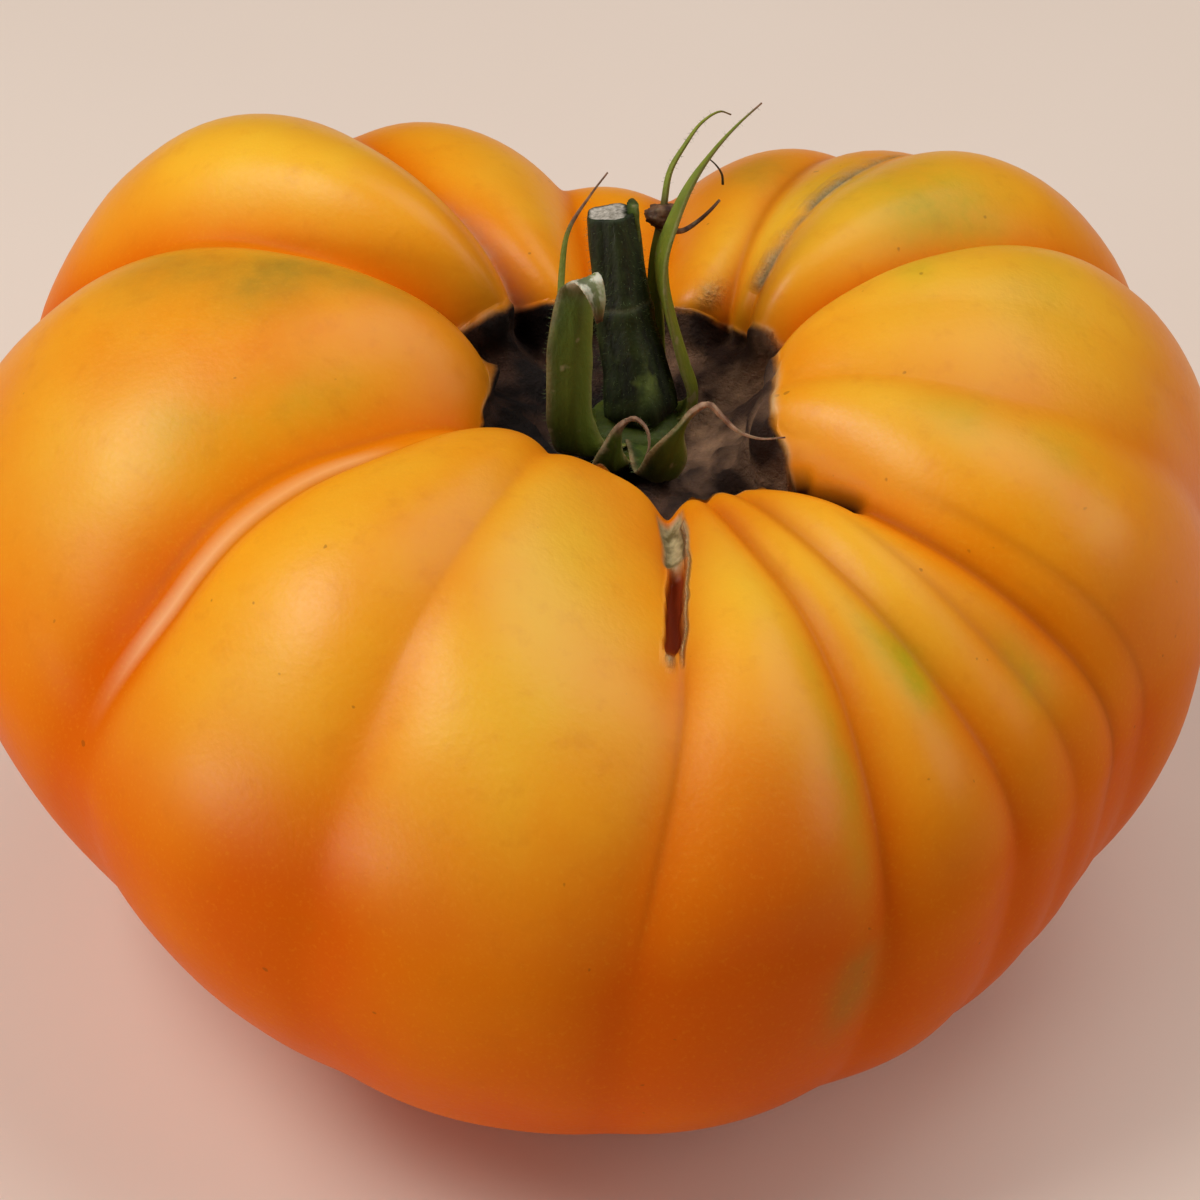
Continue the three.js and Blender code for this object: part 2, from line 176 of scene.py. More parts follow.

# Fine dark lines along the creases, partly painted shade: lowest and highest level, and strength
CREASE_LINES = {
    "left_front": (2.4, 3.9, 0.4),
    "left_minor": (2.45, 3.6, 0.5),
    "front": (2.6, 3.4, 0.15),
    "split": (2.2, 2.85, 0.5),
    "front_right_1": (2.1, 3.7, 0.5),
    "front_right_2": (2.1, 3.6, 0.5),
    "front_right_3": (2.1, 3.0, 0.4),
    "right_front": (2.0, 3.2, 0.8),
    "right_low": (2.0, 2.9, 0.4),
    "right_back": (2.3, 3.9, 0.5),
    "back_right_2": (2.6, 3.7, 0.5),
}
CREASE_LINE_HALF_WIDTH = 0.5
CREASE_LINE_DEPTH = 0.12

# The blossom scar in the middle of the foot: how far it is sunk, its ribs, and its spread in levels
BLOSSOM_DEPTH = 0.9
BLOSSOM_RIBS = 9
BLOSSOM_RIB_SHARE = 0.4
BLOSSOM_SPREAD = 0.28
BLOSSOM_TINT_SPREAD = 0.36

# How glossy the skin is: from the foot to above the belly, and how much less in the creases
SHINE_LOW = 0.04
SHINE_HIGH = 0.5
SHINE_CREASE_LOSS = 0.92
SHINE_FOLD_GAIN = 0.15


def smoothstep(x):
    t = np.clip(x, 0, 1)
    return t * t * (3 - 2 * t)


def ramp_through(levels, values, level):
    """Smooth ramps through the values given at a few levels."""
    total = np.full_like(level, values[0], dtype=float)
    for i in range(1, len(levels)):
        part = (level - levels[i - 1]) / (levels[i] - levels[i - 1])
        total += (values[i] - values[i - 1]) * smoothstep(part)
    return total


def around(values, azimuth):
    """Closed smooth curve through evenly spaced values round the fruit."""
    values = np.array(values, float)
    place = (azimuth % 360) * len(values) / 360
    i = np.floor(place).astype(int) % len(values)
    t = place - np.floor(place)
    a, b, c, d = (values[(i + step) % len(values)] for step in (-1, 0, 1, 2))
    return b + 0.5 * t * ((c - a) + t * ((2 * a - 5 * b + 4 * c - d) + t * (3 * (b - c) + d - a)))


def smooth_profile(azimuth, level):
    """The fruit without its creases: distance from the axis, and height."""
    belly = around(BELLY_RADIUS, azimuth)
    belly_height = around(BELLY_HEIGHT, azimuth)
    crest = around(CREST_RADIUS, azimuth)
    crest_height = around(CREST_HEIGHT, azimuth)
    cavity = around(CAVITY_RADIUS, azimuth)
    angle = (level % 1) * math.pi / 2
    sine = np.sin(angle)
    cosine = np.cos(angle)
    low = 2 / around(LOWER_FULLNESS, azimuth)
    high = 2 / UPPER_FULLNESS
    bands = [level >= CAVITY_WALL, level >= CREST, level >= BELLY, level >= FOOT_EDGE]
    radius = np.select(bands, [
        cavity * cosine,
        cavity + (crest - cavity) * (1 - sine),
        crest + (belly - crest) * cosine ** high,
        FOOT_RADIUS + (belly - FOOT_RADIUS) * sine ** low,
    ], FOOT_RADIUS * level)
    height = np.select(bands, [
        CAVITY_WALL_HEIGHT - (CAVITY_WALL_HEIGHT - CAVITY_FLOOR_HEIGHT) * sine,
        CAVITY_WALL_HEIGHT + (crest_height - CAVITY_WALL_HEIGHT) * cosine,
        belly_height + (crest_height - belly_height) * sine ** high,
        belly_height * (1 - cosine ** low),
    ], 0)
    return radius, height


def crease_azimuth(name, level):
    return ramp_through(CREASE_LEVELS, CREASES[name].at, level)


def turn_between(a, b):
    return (a - b + 180) % 360 - 180


def turn_from_crease(name, azimuth, level):
    """Degrees from the crease's bottom line, from -180 to 180."""
    return turn_between(azimuth, crease_azimuth(name, level))


def away_from_crease(name, azimuth, level, reach, offset=0):
    """Millimetres from a line beside the crease's bottom line, `offset` degrees to its side."""
    return np.radians(turn_from_crease(name, azimuth, level) + offset) * reach


def crease_shape(name, azimuth, level):
    """1 on the crease's bottom line, falling off to both sides."""
    crease = CREASES[name]
    away = turn_from_crease(name, azimuth, level) / crease.width
    return np.exp(crease.soft - np.hypot(away, crease.soft))


def depth_along(name, level):
    """Depth of the crease's bottom line."""
    return ramp_through(DEPTH_LEVELS, [0, *CREASES[name].depth, 0], level)


def crease_depth(azimuth, level):
    """How far the creases draw the skin in."""
    total = np.zeros_like(level)
    for name in CREASES:
        total += depth_along(name, level) * crease_shape(name, azimuth, level)
    return total


def crease_share(azimuth, level, power):
    """1 in the deep creases, falling off to their sides, faster for a higher power."""
    total = np.zeros_like(level)
    for name in CREASES:
        share = np.clip(depth_along(name, level) / FULL_CREASE_DEPTH, 0, 1)
        total += share * crease_shape(name, azimuth, level) ** power
    return np.clip(total, 0, 1)


def skin_points(azimuth, level, depth):
    """Points of the skin, drawn in by `depth` towards the middle of the flesh."""
    radius, height = smooth_profile(azimuth, level)
    in_radius = around(CREST_RADIUS, azimuth) - radius
    in_height = around(BELLY_HEIGHT, azimuth) - height
    share = depth / np.hypot(in_radius, in_height)
    r = radius + share * in_radius
    z = height + share * in_height
    shift = AXIS_SHIFT * np.minimum(z / AXIS_SHIFT_HEIGHT, 1)
    angle = np.radians(azimuth)
    return np.stack([shift + r * np.cos(angle), r * np.sin(angle), z], axis=-1)


def fruit_grid():
    """Azimuth and level of every point: a row for each ring, columns that follow the creases."""
    levels = np.concatenate([
        FLAT_EDGE * np.arange(1, RINGS_FOOT + 1) / RINGS_FOOT,
        [FOOT_EDGE],
        FOOT_EDGE + np.arange(1, RINGS_UNDERSIDE + 1) / RINGS_UNDERSIDE,
        BELLY + np.arange(1, RINGS_SHOULDER + 1) / RINGS_SHOULDER,
        CREST + np.arange(1, RINGS_CAVITY_EDGE + 1) / RINGS_CAVITY_EDGE,
        CAVITY_WALL + np.arange(1, RINGS_CAVITY_FLOOR + 1) / (RINGS_CAVITY_FLOOR + 1),
    ])
    names = list(CREASES)
    columns = []
    for i, name in enumerate(names):
        after = names[(i + 1) % len(names)]
        lap = 0 if i + 1 < len(names) else 360
        span = CREASES[after].at[1] + lap - CREASES[name].at[1]
        step = CRACK_COLUMN_STEP if "split" in (name, after) else COLUMN_STEP
        count = max(2, round(span / step))
        start = crease_azimuth(name, levels)
        end = crease_azimuth(after, levels) + lap
        for k in range(count):
            share = k / count - COLUMN_CROWDING * math.sin(2 * math.pi * k / count) / (2 * math.pi)
            columns.append(start + (end - start) * share)
    azimuth = np.stack(columns, axis=1)
    level = np.repeat(levels[:, None], azimuth.shape[1], axis=1)
    return azimuth, level


def noise_at(points, size, octaves, seed):
    """Smooth noise, about -1 to 1, at points in millimetres, with lumps of the given size."""
    flat = points.reshape(-1, 3) / size + seed
    values = [noise.fractal(Vector(p), 1.0, 2.0, octaves) for p in flat]
    return np.array(values).reshape(points.shape[:-1])


def bump_at(value, centre, half_width):
    return np.exp(-(((value - centre) / half_width) ** 2))


def between(value, low, high, soft):
    return smoothstep((value - low) / soft + 0.5) * smoothstep((high - value) / soft + 0.5)


def patch(azimuth, level, at, spread):
    """1 at a place (azimuth, level) of the skin, falling off over `spread` in degrees and levels."""
    turn = turn_between(azimuth, at[0]) / spread[0]
    rise = (level - at[1]) / spread[1]
    return np.exp(-(turn * turn + rise * rise))


def cork_feature(shares, azimuth, level, base, lumps, blotches):
    """Cork of the cavity, with lumps and wrinkles that run down its wall, and its torn rim."""
    edge = around(CORK_LEVEL, azimuth) + CORK_RAGGED * blotches
    for name, dip in CORK_DIPS.items():
        edge = edge - dip * crease_shape(name, azimuth, level)
    cork = smoothstep((level - edge) / CORK_EDGE_SOFT + 0.5)
    wrinkles = np.abs(noise_at(base * [1, 1, 0.3], WRINKLE_SIZE, 2, 11.0))
    torn = bump_at(turn_between(azimuth, TORN_RIM_AT), 0, TORN_RIM_SPREAD)
    torn = TORN_RIM_LEAST + (1 - TORN_RIM_LEAST) * torn
    rim = bump_at(level, edge - 0.02, TORN_RIM_HALF_WIDTH) * torn * smoothstep(0.5 + 1.4 * lumps)
    shares["cork"] = cork
    # The cork's tone follows its lumps and wrinkles: painted light and shade.
    shares["cork_relief_shade"] = np.clip(0.5 + 1.1 * lumps - 0.9 * wrinkles, 0, 1)
    # Grey cork on the right of the cavity, lighter there partly as painted light.
    shares["grey_and_lit_cork"] = bump_at(turn_between(azimuth, LIT_GREY_CORK_AT), 0, LIT_GREY_CORK_SPREAD)
    shares["rim"] = rim
    fading = 1 - smoothstep((level - CORK_SMOOTH_FROM) / 0.5)
    relief = CORK_LUMPS * lumps + CORK_WRINKLES * (0.5 - 2 * wrinkles)
    return cork * fading * relief - TORN_RIM_HEIGHT * rim


def crack_feature(shares, azimuth, level, reach, lumps, blotches):
    """The crack along the split crease: an opening with a pale lip, closed by a corky strip above."""
    path = ramp_through(CRACK_PATH_LEVELS, CRACK_PATH_TURNS, level)
    side = np.radians(turn_between(azimuth, path)) * reach
    open_share = between(level, CRACK_LOW, CRACK_HIGH, 0.07)
    width = CRACK_HALF_WIDTH * (1 + 0.2 * blotches) * np.sqrt(np.clip(open_share, 0.02, 1))
    opening = open_share * smoothstep((width - np.abs(side)) / 0.3 + 0.5)
    strip = between(level, CRACK_HIGH, CRACK_STRIP_HIGH + 0.15, 0.08)
    strip = strip * smoothstep((CRACK_STRIP_HALF_WIDTH - np.abs(side)) / 0.5 + 0.5)
    lip_span = between(level, CRACK_LOW - 0.03, CRACK_STRIP_HIGH, 0.05)
    lip = lip_span * (0.9 * bump_at(side, CRACK_LIP, 0.17) + 0.1 * bump_at(side, -CRACK_LIP, 0.12))
    end = patch(azimuth, level, CRACK_END, CRACK_END_SPREAD)
    shares["crack"] = opening
    shares["strip"] = strip
    shares["lip"] = np.clip(lip + end, 0, 1)
    raised = CRACK_LIP_HEIGHT * lip + CRACK_END_HEIGHT * end
    return CRACK_DEPTH * opening - raised + strip * (0.5 + 0.3 * lumps)


def gap_feature(shares, azimuth, level):
    """The gap in the crease right of the front, between two turns from its bottom line; its dark colour is
    partly cork and partly painted shade.
    """
    turn = turn_from_crease("right_front", azimuth, level)
    top = ramp_through(GAP_TOP_LEVELS, GAP_TOP_TURNS, level)
    gap_cork_and_shade = between(turn, GAP_BOTTOM_TURN, top, 0.6) * smoothstep((level - GAP_LOW) / 0.12)
    shares["gap_cork_and_shade"] = gap_cork_and_shade * (1 - shares["cork"])
    return GAP_DEPTH * shares["gap_cork_and_shade"]


def scar_feature(shares, azimuth, level, reach, blotches):
    """The corky scars on the back creases."""
    line = away_from_crease("back_right_1", azimuth, level, reach)
    span = between(level, *SCAR_SPAN, 0.1) * smoothstep(0.75 + 1.2 * blotches)
    scar = span * bump_at(line, SCAR_OFFSET, SCAR_HALF_WIDTH)
    core = span * bump_at(line, SCAR_OFFSET, SCAR_CORE_HALF_WIDTH)
    short = patch(azimuth, level, SHORT_SCAR, SHORT_SCAR_SPREAD)
    streak_line = away_from_crease("back_left", azimuth, level, reach)
    streak = bump_at(streak_line, STREAK_OFFSET, STREAK_HALF_WIDTH)
    shares["scar"] = np.clip(0.85 * scar + 0.7 * short, 0, 1)
    # The scar's sunken core, greyed partly as painted shadow.
    shares["scar_core_and_shadow"] = core
    shares["streak"] = between(level, *STREAK_SPAN, 0.25) * streak
    return SCAR_CORE_DEPTH * core - SCAR_HEIGHT * scar


def fold_feature(shares, azimuth, level, reach):
    """The thin raised fold in the deep crease at the left, and a fine line along each crease."""
    line = away_from_crease("left_minor", azimuth, level, reach, FOLD_OFFSET)
    shares["fold"] = between(level, *FOLD_SPAN, 0.3) * bump_at(line, 0, FOLD_HALF_WIDTH)
    shares["line"] = crease_lines(azimuth, level, reach)
    return CREASE_LINE_DEPTH * shares["line"] - FOLD_HEIGHT * shares["fold"]


def skin_features(azimuth, level):
    """Depth of the skin's features, and the shares that colour them."""
    depth = crease_depth(azimuth, level)
    base = skin_points(azimuth, level, depth)
    reach = np.hypot(base[..., 0] - AXIS_SHIFT, base[..., 1])
    lumps = noise_at(base, CORK_LUMP_SIZE, 2, 5.0)
    broad = noise_at(base, LOBE_LUMP_SIZE, 2, 40.0)
    blotches = noise_at(base, BLOTCH_SIZE, 3, 90.0)
    shares = {}
    depth = depth + cork_feature(shares, azimuth, level, base, lumps, blotches)
    depth = depth + crack_feature(shares, azimuth, level, reach, lumps, blotches)
    depth = depth + gap_feature(shares, azimuth, level)
    depth = depth + scar_feature(shares, azimuth, level, reach, blotches)
    depth = depth + fold_feature(shares, azimuth, level, reach)
    uneven = LOBE_UNEVENNESS * broad * (1 - shares["cork"])
    depth = depth + uneven * smoothstep((level - 1.1) / 0.3)
    shares.update(skin_tints(azimuth, level, broad, blotches))
    shares["shine"] = skin_shine(azimuth, level, shares["fold"])
    shares["blossom"] = bump_at(level, 0, BLOSSOM_TINT_SPREAD) * (level < FOOT_EDGE)
    return depth, shares


def crease_lines(azimuth, level, reach):
    total = np.zeros_like(level)
    for name, (low, high, strength) in CREASE_LINES.items():
        side = away_from_crease(name, azimuth, level, reach)
        total += strength * between(level, low, high, 0.3) * bump_at(side, 0, CREASE_LINE_HALF_WIDTH)
    return np.clip(total, 0, 1)


# Where the skin is tinted: (azimuth, level), (spread in degrees, in levels), strength
GREEN_PATCHES = [
    ((-55, 2.6), (2.6, 0.14), 0.8),
    ((-58, 2.74), (2, 0.1), 0.4),
    ((-42, 2.42), (2.2, 0.12), 0.55),
    ((-67.5, 2.48), (1.8, 0.26), 0.55),
    ((54, 2.95), (8, 0.2), 0.35),
    ((38, 2.97), (10, 0.18), 0.45),
    ((31, 2.85), (9, 0.14), 0.4),
    ((14, 3.1), (9, 0.1), 0.35),
    ((8, 2.8), (9, 0.1), 0.35),
    ((-22, 2.92), (5, 0.08), 0.4),
    ((-20, 2.7), (5, 0.1), 0.35),
    ((-163, 3.0), (4.5, 0.2), 0.3),
    ((-163, 2.75), (6, 0.12), 0.25),
    ((-102, 2.5), (3, 0.3), 0.05),
]
OLIVE_PATCHES = [
    ((-68, 1.95), (3, 0.09), 0.6),
    ((170, 3.05), (6, 0.22), 0.65),
    ((170, 3.35), (5, 0.2), 0.5),
    ((171, 2.75), (6, 0.12), 0.4),
    ((177, 2.95), (6, 0.1), 0.45),
    ((70, 2.9), (6, 0.12), 0.6),
]
# Red patches low on the front: partly redder skin, partly painted shade low down.
RED_PATCHES = [
    ((-77, 2.35), (8, 0.36), 0.42),
    ((-74, 2.0), (11, 0.3), 0.25),
    ((-124, 2.1), (6, 0.2), 0.3),
]
GOLD_PATCHES = [
    ((-104, 3.0), (15, 0.55), 1.0),
    ((-107, 2.5), (10, 0.2), 0.3),
    ((-72, 3.05), (10, 0.36), 0.9),
    ((-76, 2.7), (9, 0.2), 0.1),
    ((-54, 2.9), (10, 0.5), 1.0),
    ((-136, 2.9), (10, 0.5), 0.5),
    ((-130, 2.4), (12, 0.25), 0.6),
    ((-146, 2.2), (9, 0.25), 0.6),
    ((-22, 3.1), (12, 0.35), 1.0),
    ((8, 3.1), (16, 0.4), 0.9),
    ((5, 2.7), (12, 0.2), 0.5),
    ((40, 3.1), (18, 0.5), 1.0),
    ((62, 3.3), (10, 0.4), 0.8),
    ((150, 2.85), (18, 0.5), 1.0),
    ((112, 3.1), (10, 0.4), 0.6),
    ((-165, 2.5), (10, 0.25), 0.9),
    ((180, 2.4), (25, 0.3), 0.3),
]


def tint_share(patches, azimuth, level):
    total = np.zeros_like(level)
    for at, spread, strength in patches:
        total += strength * patch(azimuth, level, at, spread)
    return np.clip(total, 0, 1)


def skin_tints(azimuth, level, broad, blotches):
    """Shares of gold, red, green and olive in the skin's colour. The red is partly painted shade: it
    deepens in the creases and towards the foot, where the gold fades.
    """
    crease = crease_share(azimuth, level, 4)
    # Painted shade: the skin is painted redder and darker in the creases and low down towards the foot.
    low = 1 - smoothstep((level - 1.75) / 0.95)
    red = 0.65 * crease + 0.9 * low + 0.2 * broad + tint_share(RED_PATCHES, azimuth, level)
    gold = tint_share(GOLD_PATCHES, azimuth, level) * (1 - 0.6 * crease) + 0.15 * blotches
    green = tint_share(GREEN_PATCHES, azimuth, level) * (0.85 + 0.5 * blotches)
    olive = tint_share(OLIVE_PATCHES, azimuth, level) * (0.9 + 0.3 * blotches)
    tints = {"red": red, "gold": gold * (1 - 0.7 * low), "green": green, "olive": olive}
    return {name: np.clip(share, 0, 1) for name, share in tints.items()}


def skin_shine(azimuth, level, fold):
    """How much the skin mirrors its surroundings: little near the foot and deep in the creases."""
    shine = SHINE_LOW + (SHINE_HIGH - SHINE_LOW) * smoothstep((level - 2.05) / 0.4)
    return shine * (1 - SHINE_CREASE_LOSS * crease_share(azimuth, level, 1.3)) + SHINE_FOLD_GAIN * fold


def mesh_object(name, vertices, faces):
    """A mesh object from vertices in millimetres."""
    mesh = bpy.data.meshes.new(name)
    mesh.from_pydata((np.asarray(vertices, float) * MM).tolist(), [], faces)
    mesh.validate()
    mesh.polygons.foreach_set("use_smooth", [True] * len(mesh.polygons))
    mesh.update()
    piece = bpy.data.objects.new(name, mesh)
    bpy.context.scene.collection.objects.link(piece)
    return piece


def ring_faces(ring_count, sides):
    """Faces of a closed surface: fans from two last points, and quads between its rings."""
    start = ring_count * sides
    end = start + 1
    last = (ring_count - 1) * sides
    faces = []
    for k in range(sides):
        after = (k + 1) % sides
        faces.append((start, after, k))
        faces.append((last + k, last + after, end))
    for i in range(ring_count - 1):
        low = i * sides
        high = low + sides
        for k in range(sides):
            after = (k + 1) % sides
            faces.append((low + k, low + after, high + after, high + k))
    return faces


def lofted(name, rings, start, end):
    """A closed mesh object through rings of points, with a point at each end."""
    rings = np.asarray(rings, float)
    vertices = np.concatenate([rings.reshape(-1, 3), [start], [end]])
    return mesh_object(name, vertices, ring_faces(len(rings), rings.shape[1]))


def set_attribute(piece, name, values):
    """A number for each vertex, which the materials read by name."""
    values = np.asarray(values, np.float32).ravel()
    full = np.zeros(len(piece.data.vertices), np.float32)
    full[:len(values)] = values
    full[len(values):] = values[-1]
    attribute = piece.data.attributes.new(name, "FLOAT", "POINT")
    attribute.data.foreach_set("value", full)


def make_fruit():
    azimuth, level = fruit_grid()
    depth, shares = skin_features(azimuth, level)
    points = skin_points(azimuth, level, depth)
    lowest = np.where(level <= FOOT_EDGE, points[..., 2], FOOT_CLEARANCE)
    points[..., 2] = np.maximum(points[..., 2], lowest)
    sunk = BLOSSOM_DEPTH * bump_at(level, 0, BLOSSOM_SPREAD) * (level < FOOT_EDGE)
    ribs = np.abs(np.sin(np.radians(azimuth * BLOSSOM_RIBS / 2)))
    points[..., 2] += sunk * (1 - BLOSSOM_RIB_SHARE * ribs)
    piece = lofted("tomato_skin", points, [0, 0, BLOSSOM_DEPTH], points[-1].mean(axis=0))
    for name, values in shares.items():
        set_attribute(piece, name, values)
    finish_piece(piece, skin_material(), "fruit")


def finish_piece(piece, material, node):
    piece.data.materials.append(material)
    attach(piece, "root")
    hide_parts(node)


class Material:
    """Adds shader nodes to a new material; `shader` is its Principled BSDF."""

    def __init__(self, name):
        self.material = bpy.data.materials.new(name)
        self.material.use_nodes = True
        self.tree = self.material.node_tree
        self.shader = self.tree.nodes["Principled BSDF"]
        self.place = self.add("ShaderNodeTexCoord").outputs["Object"]

    def add(self, kind, inputs=None, **settings):
        node = self.tree.nodes.new(kind)
        for key, value in settings.items():
            setattr(node, key, value)
        for key, value in (inputs or {}).items():
            self.plug(node.inputs[key], value)
        return node

    def plug(self, socket, value):
        if isinstance(value, bpy.types.NodeSocket):
            self.tree.links.new(value, socket)
        else:
            socket.default_value = value

    def attribute(self, name):
        return self.add("ShaderNodeAttribute", attribute_name=name).outputs["Fac"]

    def noise(self, scale, detail=3, roughness=0.55, stretch=None):
        place = self.place
        if stretch:
            place = self.add("ShaderNodeMapping", {"Vector": place, "Scale": stretch}).outputs[0]
        inputs = {"Vector": place, "Scale": scale, "Detail": detail, "Roughness": roughness}
        return self.add("ShaderNodeTexNoise", inputs).outputs["Fac"]

    def math(self, operation, a, b=0.0, clamp=False):
        return self.add("ShaderNodeMath", {0: a, 1: b}, operation=operation, use_clamp=clamp).outputs[0]

    def ramp(self, value, low, high, to_low=0.0, to_high=1.0):
        inputs = {"Value": value, "From Min": low, "From Max": high, "To Min": to_low, "To Max": to_high}
        return self.add("ShaderNodeMapRange", inputs, clamp=True).outputs["Result"]

    def mix(self, share, a, b, blend="MIX"):
        node = self.add("ShaderNodeMix", data_type="RGBA", blend_type=blend)
        self.plug(node.inputs[0], share)
        self.plug(node.inputs[6], a)
        self.plug(node.inputs[7], b)
        return node.outputs[2]

    def tint(self, base, name, tone, share=None):
        """The base colour with a tone over it, as strong as the attribute says, times the share."""
        strength = self.attribute(name)
        if share is not None:
            strength = self.math("MULTIPLY", strength, share)
        return self.mix(strength, base, tone)

    def bump(self, height, distance, strength=1.0, before=None):
        inputs = {"Height": height, "Distance": distance, "Strength": strength}
        if before:
            inputs["Normal"] = before
        return self.add("ShaderNodeBump", inputs).outputs["Normal"]

    def set(self, **values):
        for key, value in values.items():
            self.plug(self.shader.inputs[key.replace("_", " ")], value)


def colour(red, green, blue):
    """A colour from its 0 to 255 screen values."""
    def linear(value):
        part = value / 255
        return part / 12.92 if part <= 0.04045 else ((part + 0.055) / 1.055) ** 2.4
    return (linear(red), linear(green), linear(blue), 1)


def flesh_colour(m, mottled, speckle):
    """Colour of the skin: patchy orange with its tints, flecks and fine lines; its red tint and fine lines
    are partly painted shade, and its fold is partly a painted highlight.
    """
    patchy = m.noise(70, 4)
    flesh = m.mix(m.ramp(patchy, 0.35, 0.7), colour(245, 155, 16), colour(240, 138, 8))
    flesh = m.tint(flesh, "gold", colour(247, 187, 46), m.ramp(patchy, 0.2, 0.6, 0.7, 1.0))
    # The red tint is partly painted shade, in the creases and towards the foot.
    flesh = m.tint(flesh, "red", colour(214, 92, 2))
    flesh = m.tint(flesh, "green", colour(176, 164, 22), m.ramp(mottled, 0.3, 0.65, 0.6, 1.0))
    flesh = m.tint(flesh, "olive", colour(142, 122, 38), m.ramp(mottled, 0.3, 0.65, 0.7, 1.0))
    flesh = m.mix(m.ramp(speckle, 0.55, 0.8, 0.0, 0.12), flesh, colour(250, 190, 50))
    flesh = m.mix(m.ramp(mottled, 0.55, 0.8, 0.0, 0.2), flesh, colour(200, 100, 12))
    flecks = m.ramp(m.noise(760, 1, 0.4), 0.8, 0.83, 0.0, 0.45)
    flesh = m.mix(flecks, flesh, colour(120, 66, 14))
    # Fine dark lines along the creases: partly painted shade.
    flesh = m.tint(flesh, "line", colour(150, 66, 8), 0.55)
    # The fold's pale colour is partly a painted highlight.
    flesh = m.tint(flesh, "fold", colour(254, 206, 150), 0.5)
    return m.tint(flesh, "streak", colour(206, 156, 122), m.ramp(mottled, 0.35, 0.6, 0.3, 0.8))


def cork_colour(m, bark_noise):
    """Colour of the cavity's cork: dark brown, lighter and darker with its relief as painted light and
    shade, and grey on its right, partly painted light.
    """
    # The tone follows the cork's relief: painted light and shade.
    tone = m.math("MULTIPLY", m.attribute("cork_relief_shade"), m.ramp(bark_noise, 0.3, 0.7, 0.35, 1.0))
    brown = m.mix(tone, colour(28, 16, 11), colour(116, 80, 62))
    # Grey cork, lighter on the right of the cavity: partly its own colour, partly painted light.
    grey_and_lit_cork = m.mix(tone, colour(68, 42, 28), colour(208, 160, 122))
    return m.mix(m.attribute("grey_and_lit_cork"), brown, grey_and_lit_cork)


def skin_material():
    m = Material("tomato_skin")
    mottled = m.noise(420, 4, 0.6)
    speckle = m.noise(2600, 2, 0.6)
    bark_noise = m.noise(520, 6, 0.7)
    cork = m.attribute("cork")
    bark = cork_colour(m, bark_noise)
    pale = m.mix(m.ramp(bark_noise, 0.3, 0.7), colour(190, 144, 92), colour(230, 200, 150))
    strip = m.mix(m.ramp(m.noise(900, 3), 0.35, 0.65), colour(112, 98, 62), colour(190, 172, 128))

    base = flesh_colour(m, mottled, speckle)
    base = m.tint(base, "scar", pale, m.ramp(bark_noise, 0.35, 0.6, 0.25, 0.85))
    # The scar's grey core is partly painted shadow along its sunken line.
    base = m.tint(base, "scar_core_and_shadow", colour(150, 138, 100), 0.7)
    base = m.tint(base, "strip", strip)
    # The gap's dark colour: partly cork, partly painted shade.
    base = m.tint(base, "gap_cork_and_shade", colour(44, 14, 6))
    base = m.mix(cork, base, bark)
    base = m.tint(base, "rim", pale)
    base = m.tint(base, "lip", pale)
    base = m.tint(base, "crack", colour(146, 56, 22))
    base = m.tint(base, "blossom", bark)

    dull = m.math("MAXIMUM", cork, m.math("MAXIMUM", m.attribute("scar"), m.attribute("lip")))
    rough = m.ramp(speckle, 0.3, 0.7, 0.33, 0.42)
    rough = m.math("ADD", rough, m.math("MULTIPLY", dull, 0.45), clamp=True)
    normal = m.bump(m.noise(1500, 2, 0.5), 0.0001, 0.25)
    normal = m.bump(m.math("MULTIPLY", bark_noise, dull), 0.002, 1.0, normal)
    m.set(Base_Color=base, Roughness=rough, Normal=normal, IOR=1.45,
          Specular_IOR_Level=m.attribute("shine"),
          Subsurface_Weight=0.06, Subsurface_Scale=0.003, Subsurface_Radius=(1.0, 0.35, 0.05))
    return m.material


# The cut stem
STEM_LINE = [[4.4, 2.3, 57.9], [3.9, 3.6, 61.5], [3, 5, 65.8], [2.3, 6.6, 71], [1.8, 8, 75.9]]
STEM_RADIUS = [3.4, 2.9, 2.6, 2.4, 2.35]
STEM_RIDGES = 5
STEM_RIDGE_HEIGHT = 0.07
STEM_KNUCKLE_AT = 0.5
STEM_KNUCKLE_WIDTH = 0.05
STEM_KNUCKLE_HEIGHT = 0.15
STEM_GROOVE_AT = 0.535
STEM_GROOVE_WIDTH = 0.012
STEM_GROOVE_DEPTH = 0.1
STEM_FINE_RIDGES = 17
STEM_FINEST_RIDGES = 31
STEM_UNEVEN = 0.05
STEM_BEVEL_FROM = 0.985
STEM_BEVEL = 0.06
STEM_FOOT_AT = 0.17
STEM_FOOT_SPREAD = 0.09
STEM_SIDES = 72
STEM_RINGS = 90
STEM_CUT_RINGS = [0.97, 0.9, 0.78, 0.6, 0.4, 0.2]
STEM_CUT_RIGHT = 1.2
STEM_CUT_RIM = 0.35
STEM_CUT_DIP = 0.25
STEM_PITH_HEIGHT = 0.1
STEM_CUT_RAGGED = 0.1
SPUR = {"line": [[4, 7.2, 72.5], [3.9, 7.7, 75], [3.8, 8.1, 76.9]], "across": [[0.3, -1, 0], [0.3, -1, 0]],
        "width": 1.9, "taper": [0.9, 2], "cup": 0.2, "tone": -0.6, "dry_from": 1.2, "edge_dry": 0.1}

# The receptacle that the sepals grow from
RECEPTACLE_CENTRE = [4.2, 2]
RECEPTACLE_PROFILE = [[0, 55], [2.4, 55.2], [4.4, 55.9], [4.2, 56.6], [3.2, 57.2], [0, 57.2]]
RECEPTACLE_RING_STEP = 0.35
RECEPTACLE_SIDES = 64
RECEPTACLE_LOBES = 7
RECEPTACLE_LOBE_SHARE = 0.02
RECEPTACLE_TONE = 0.15
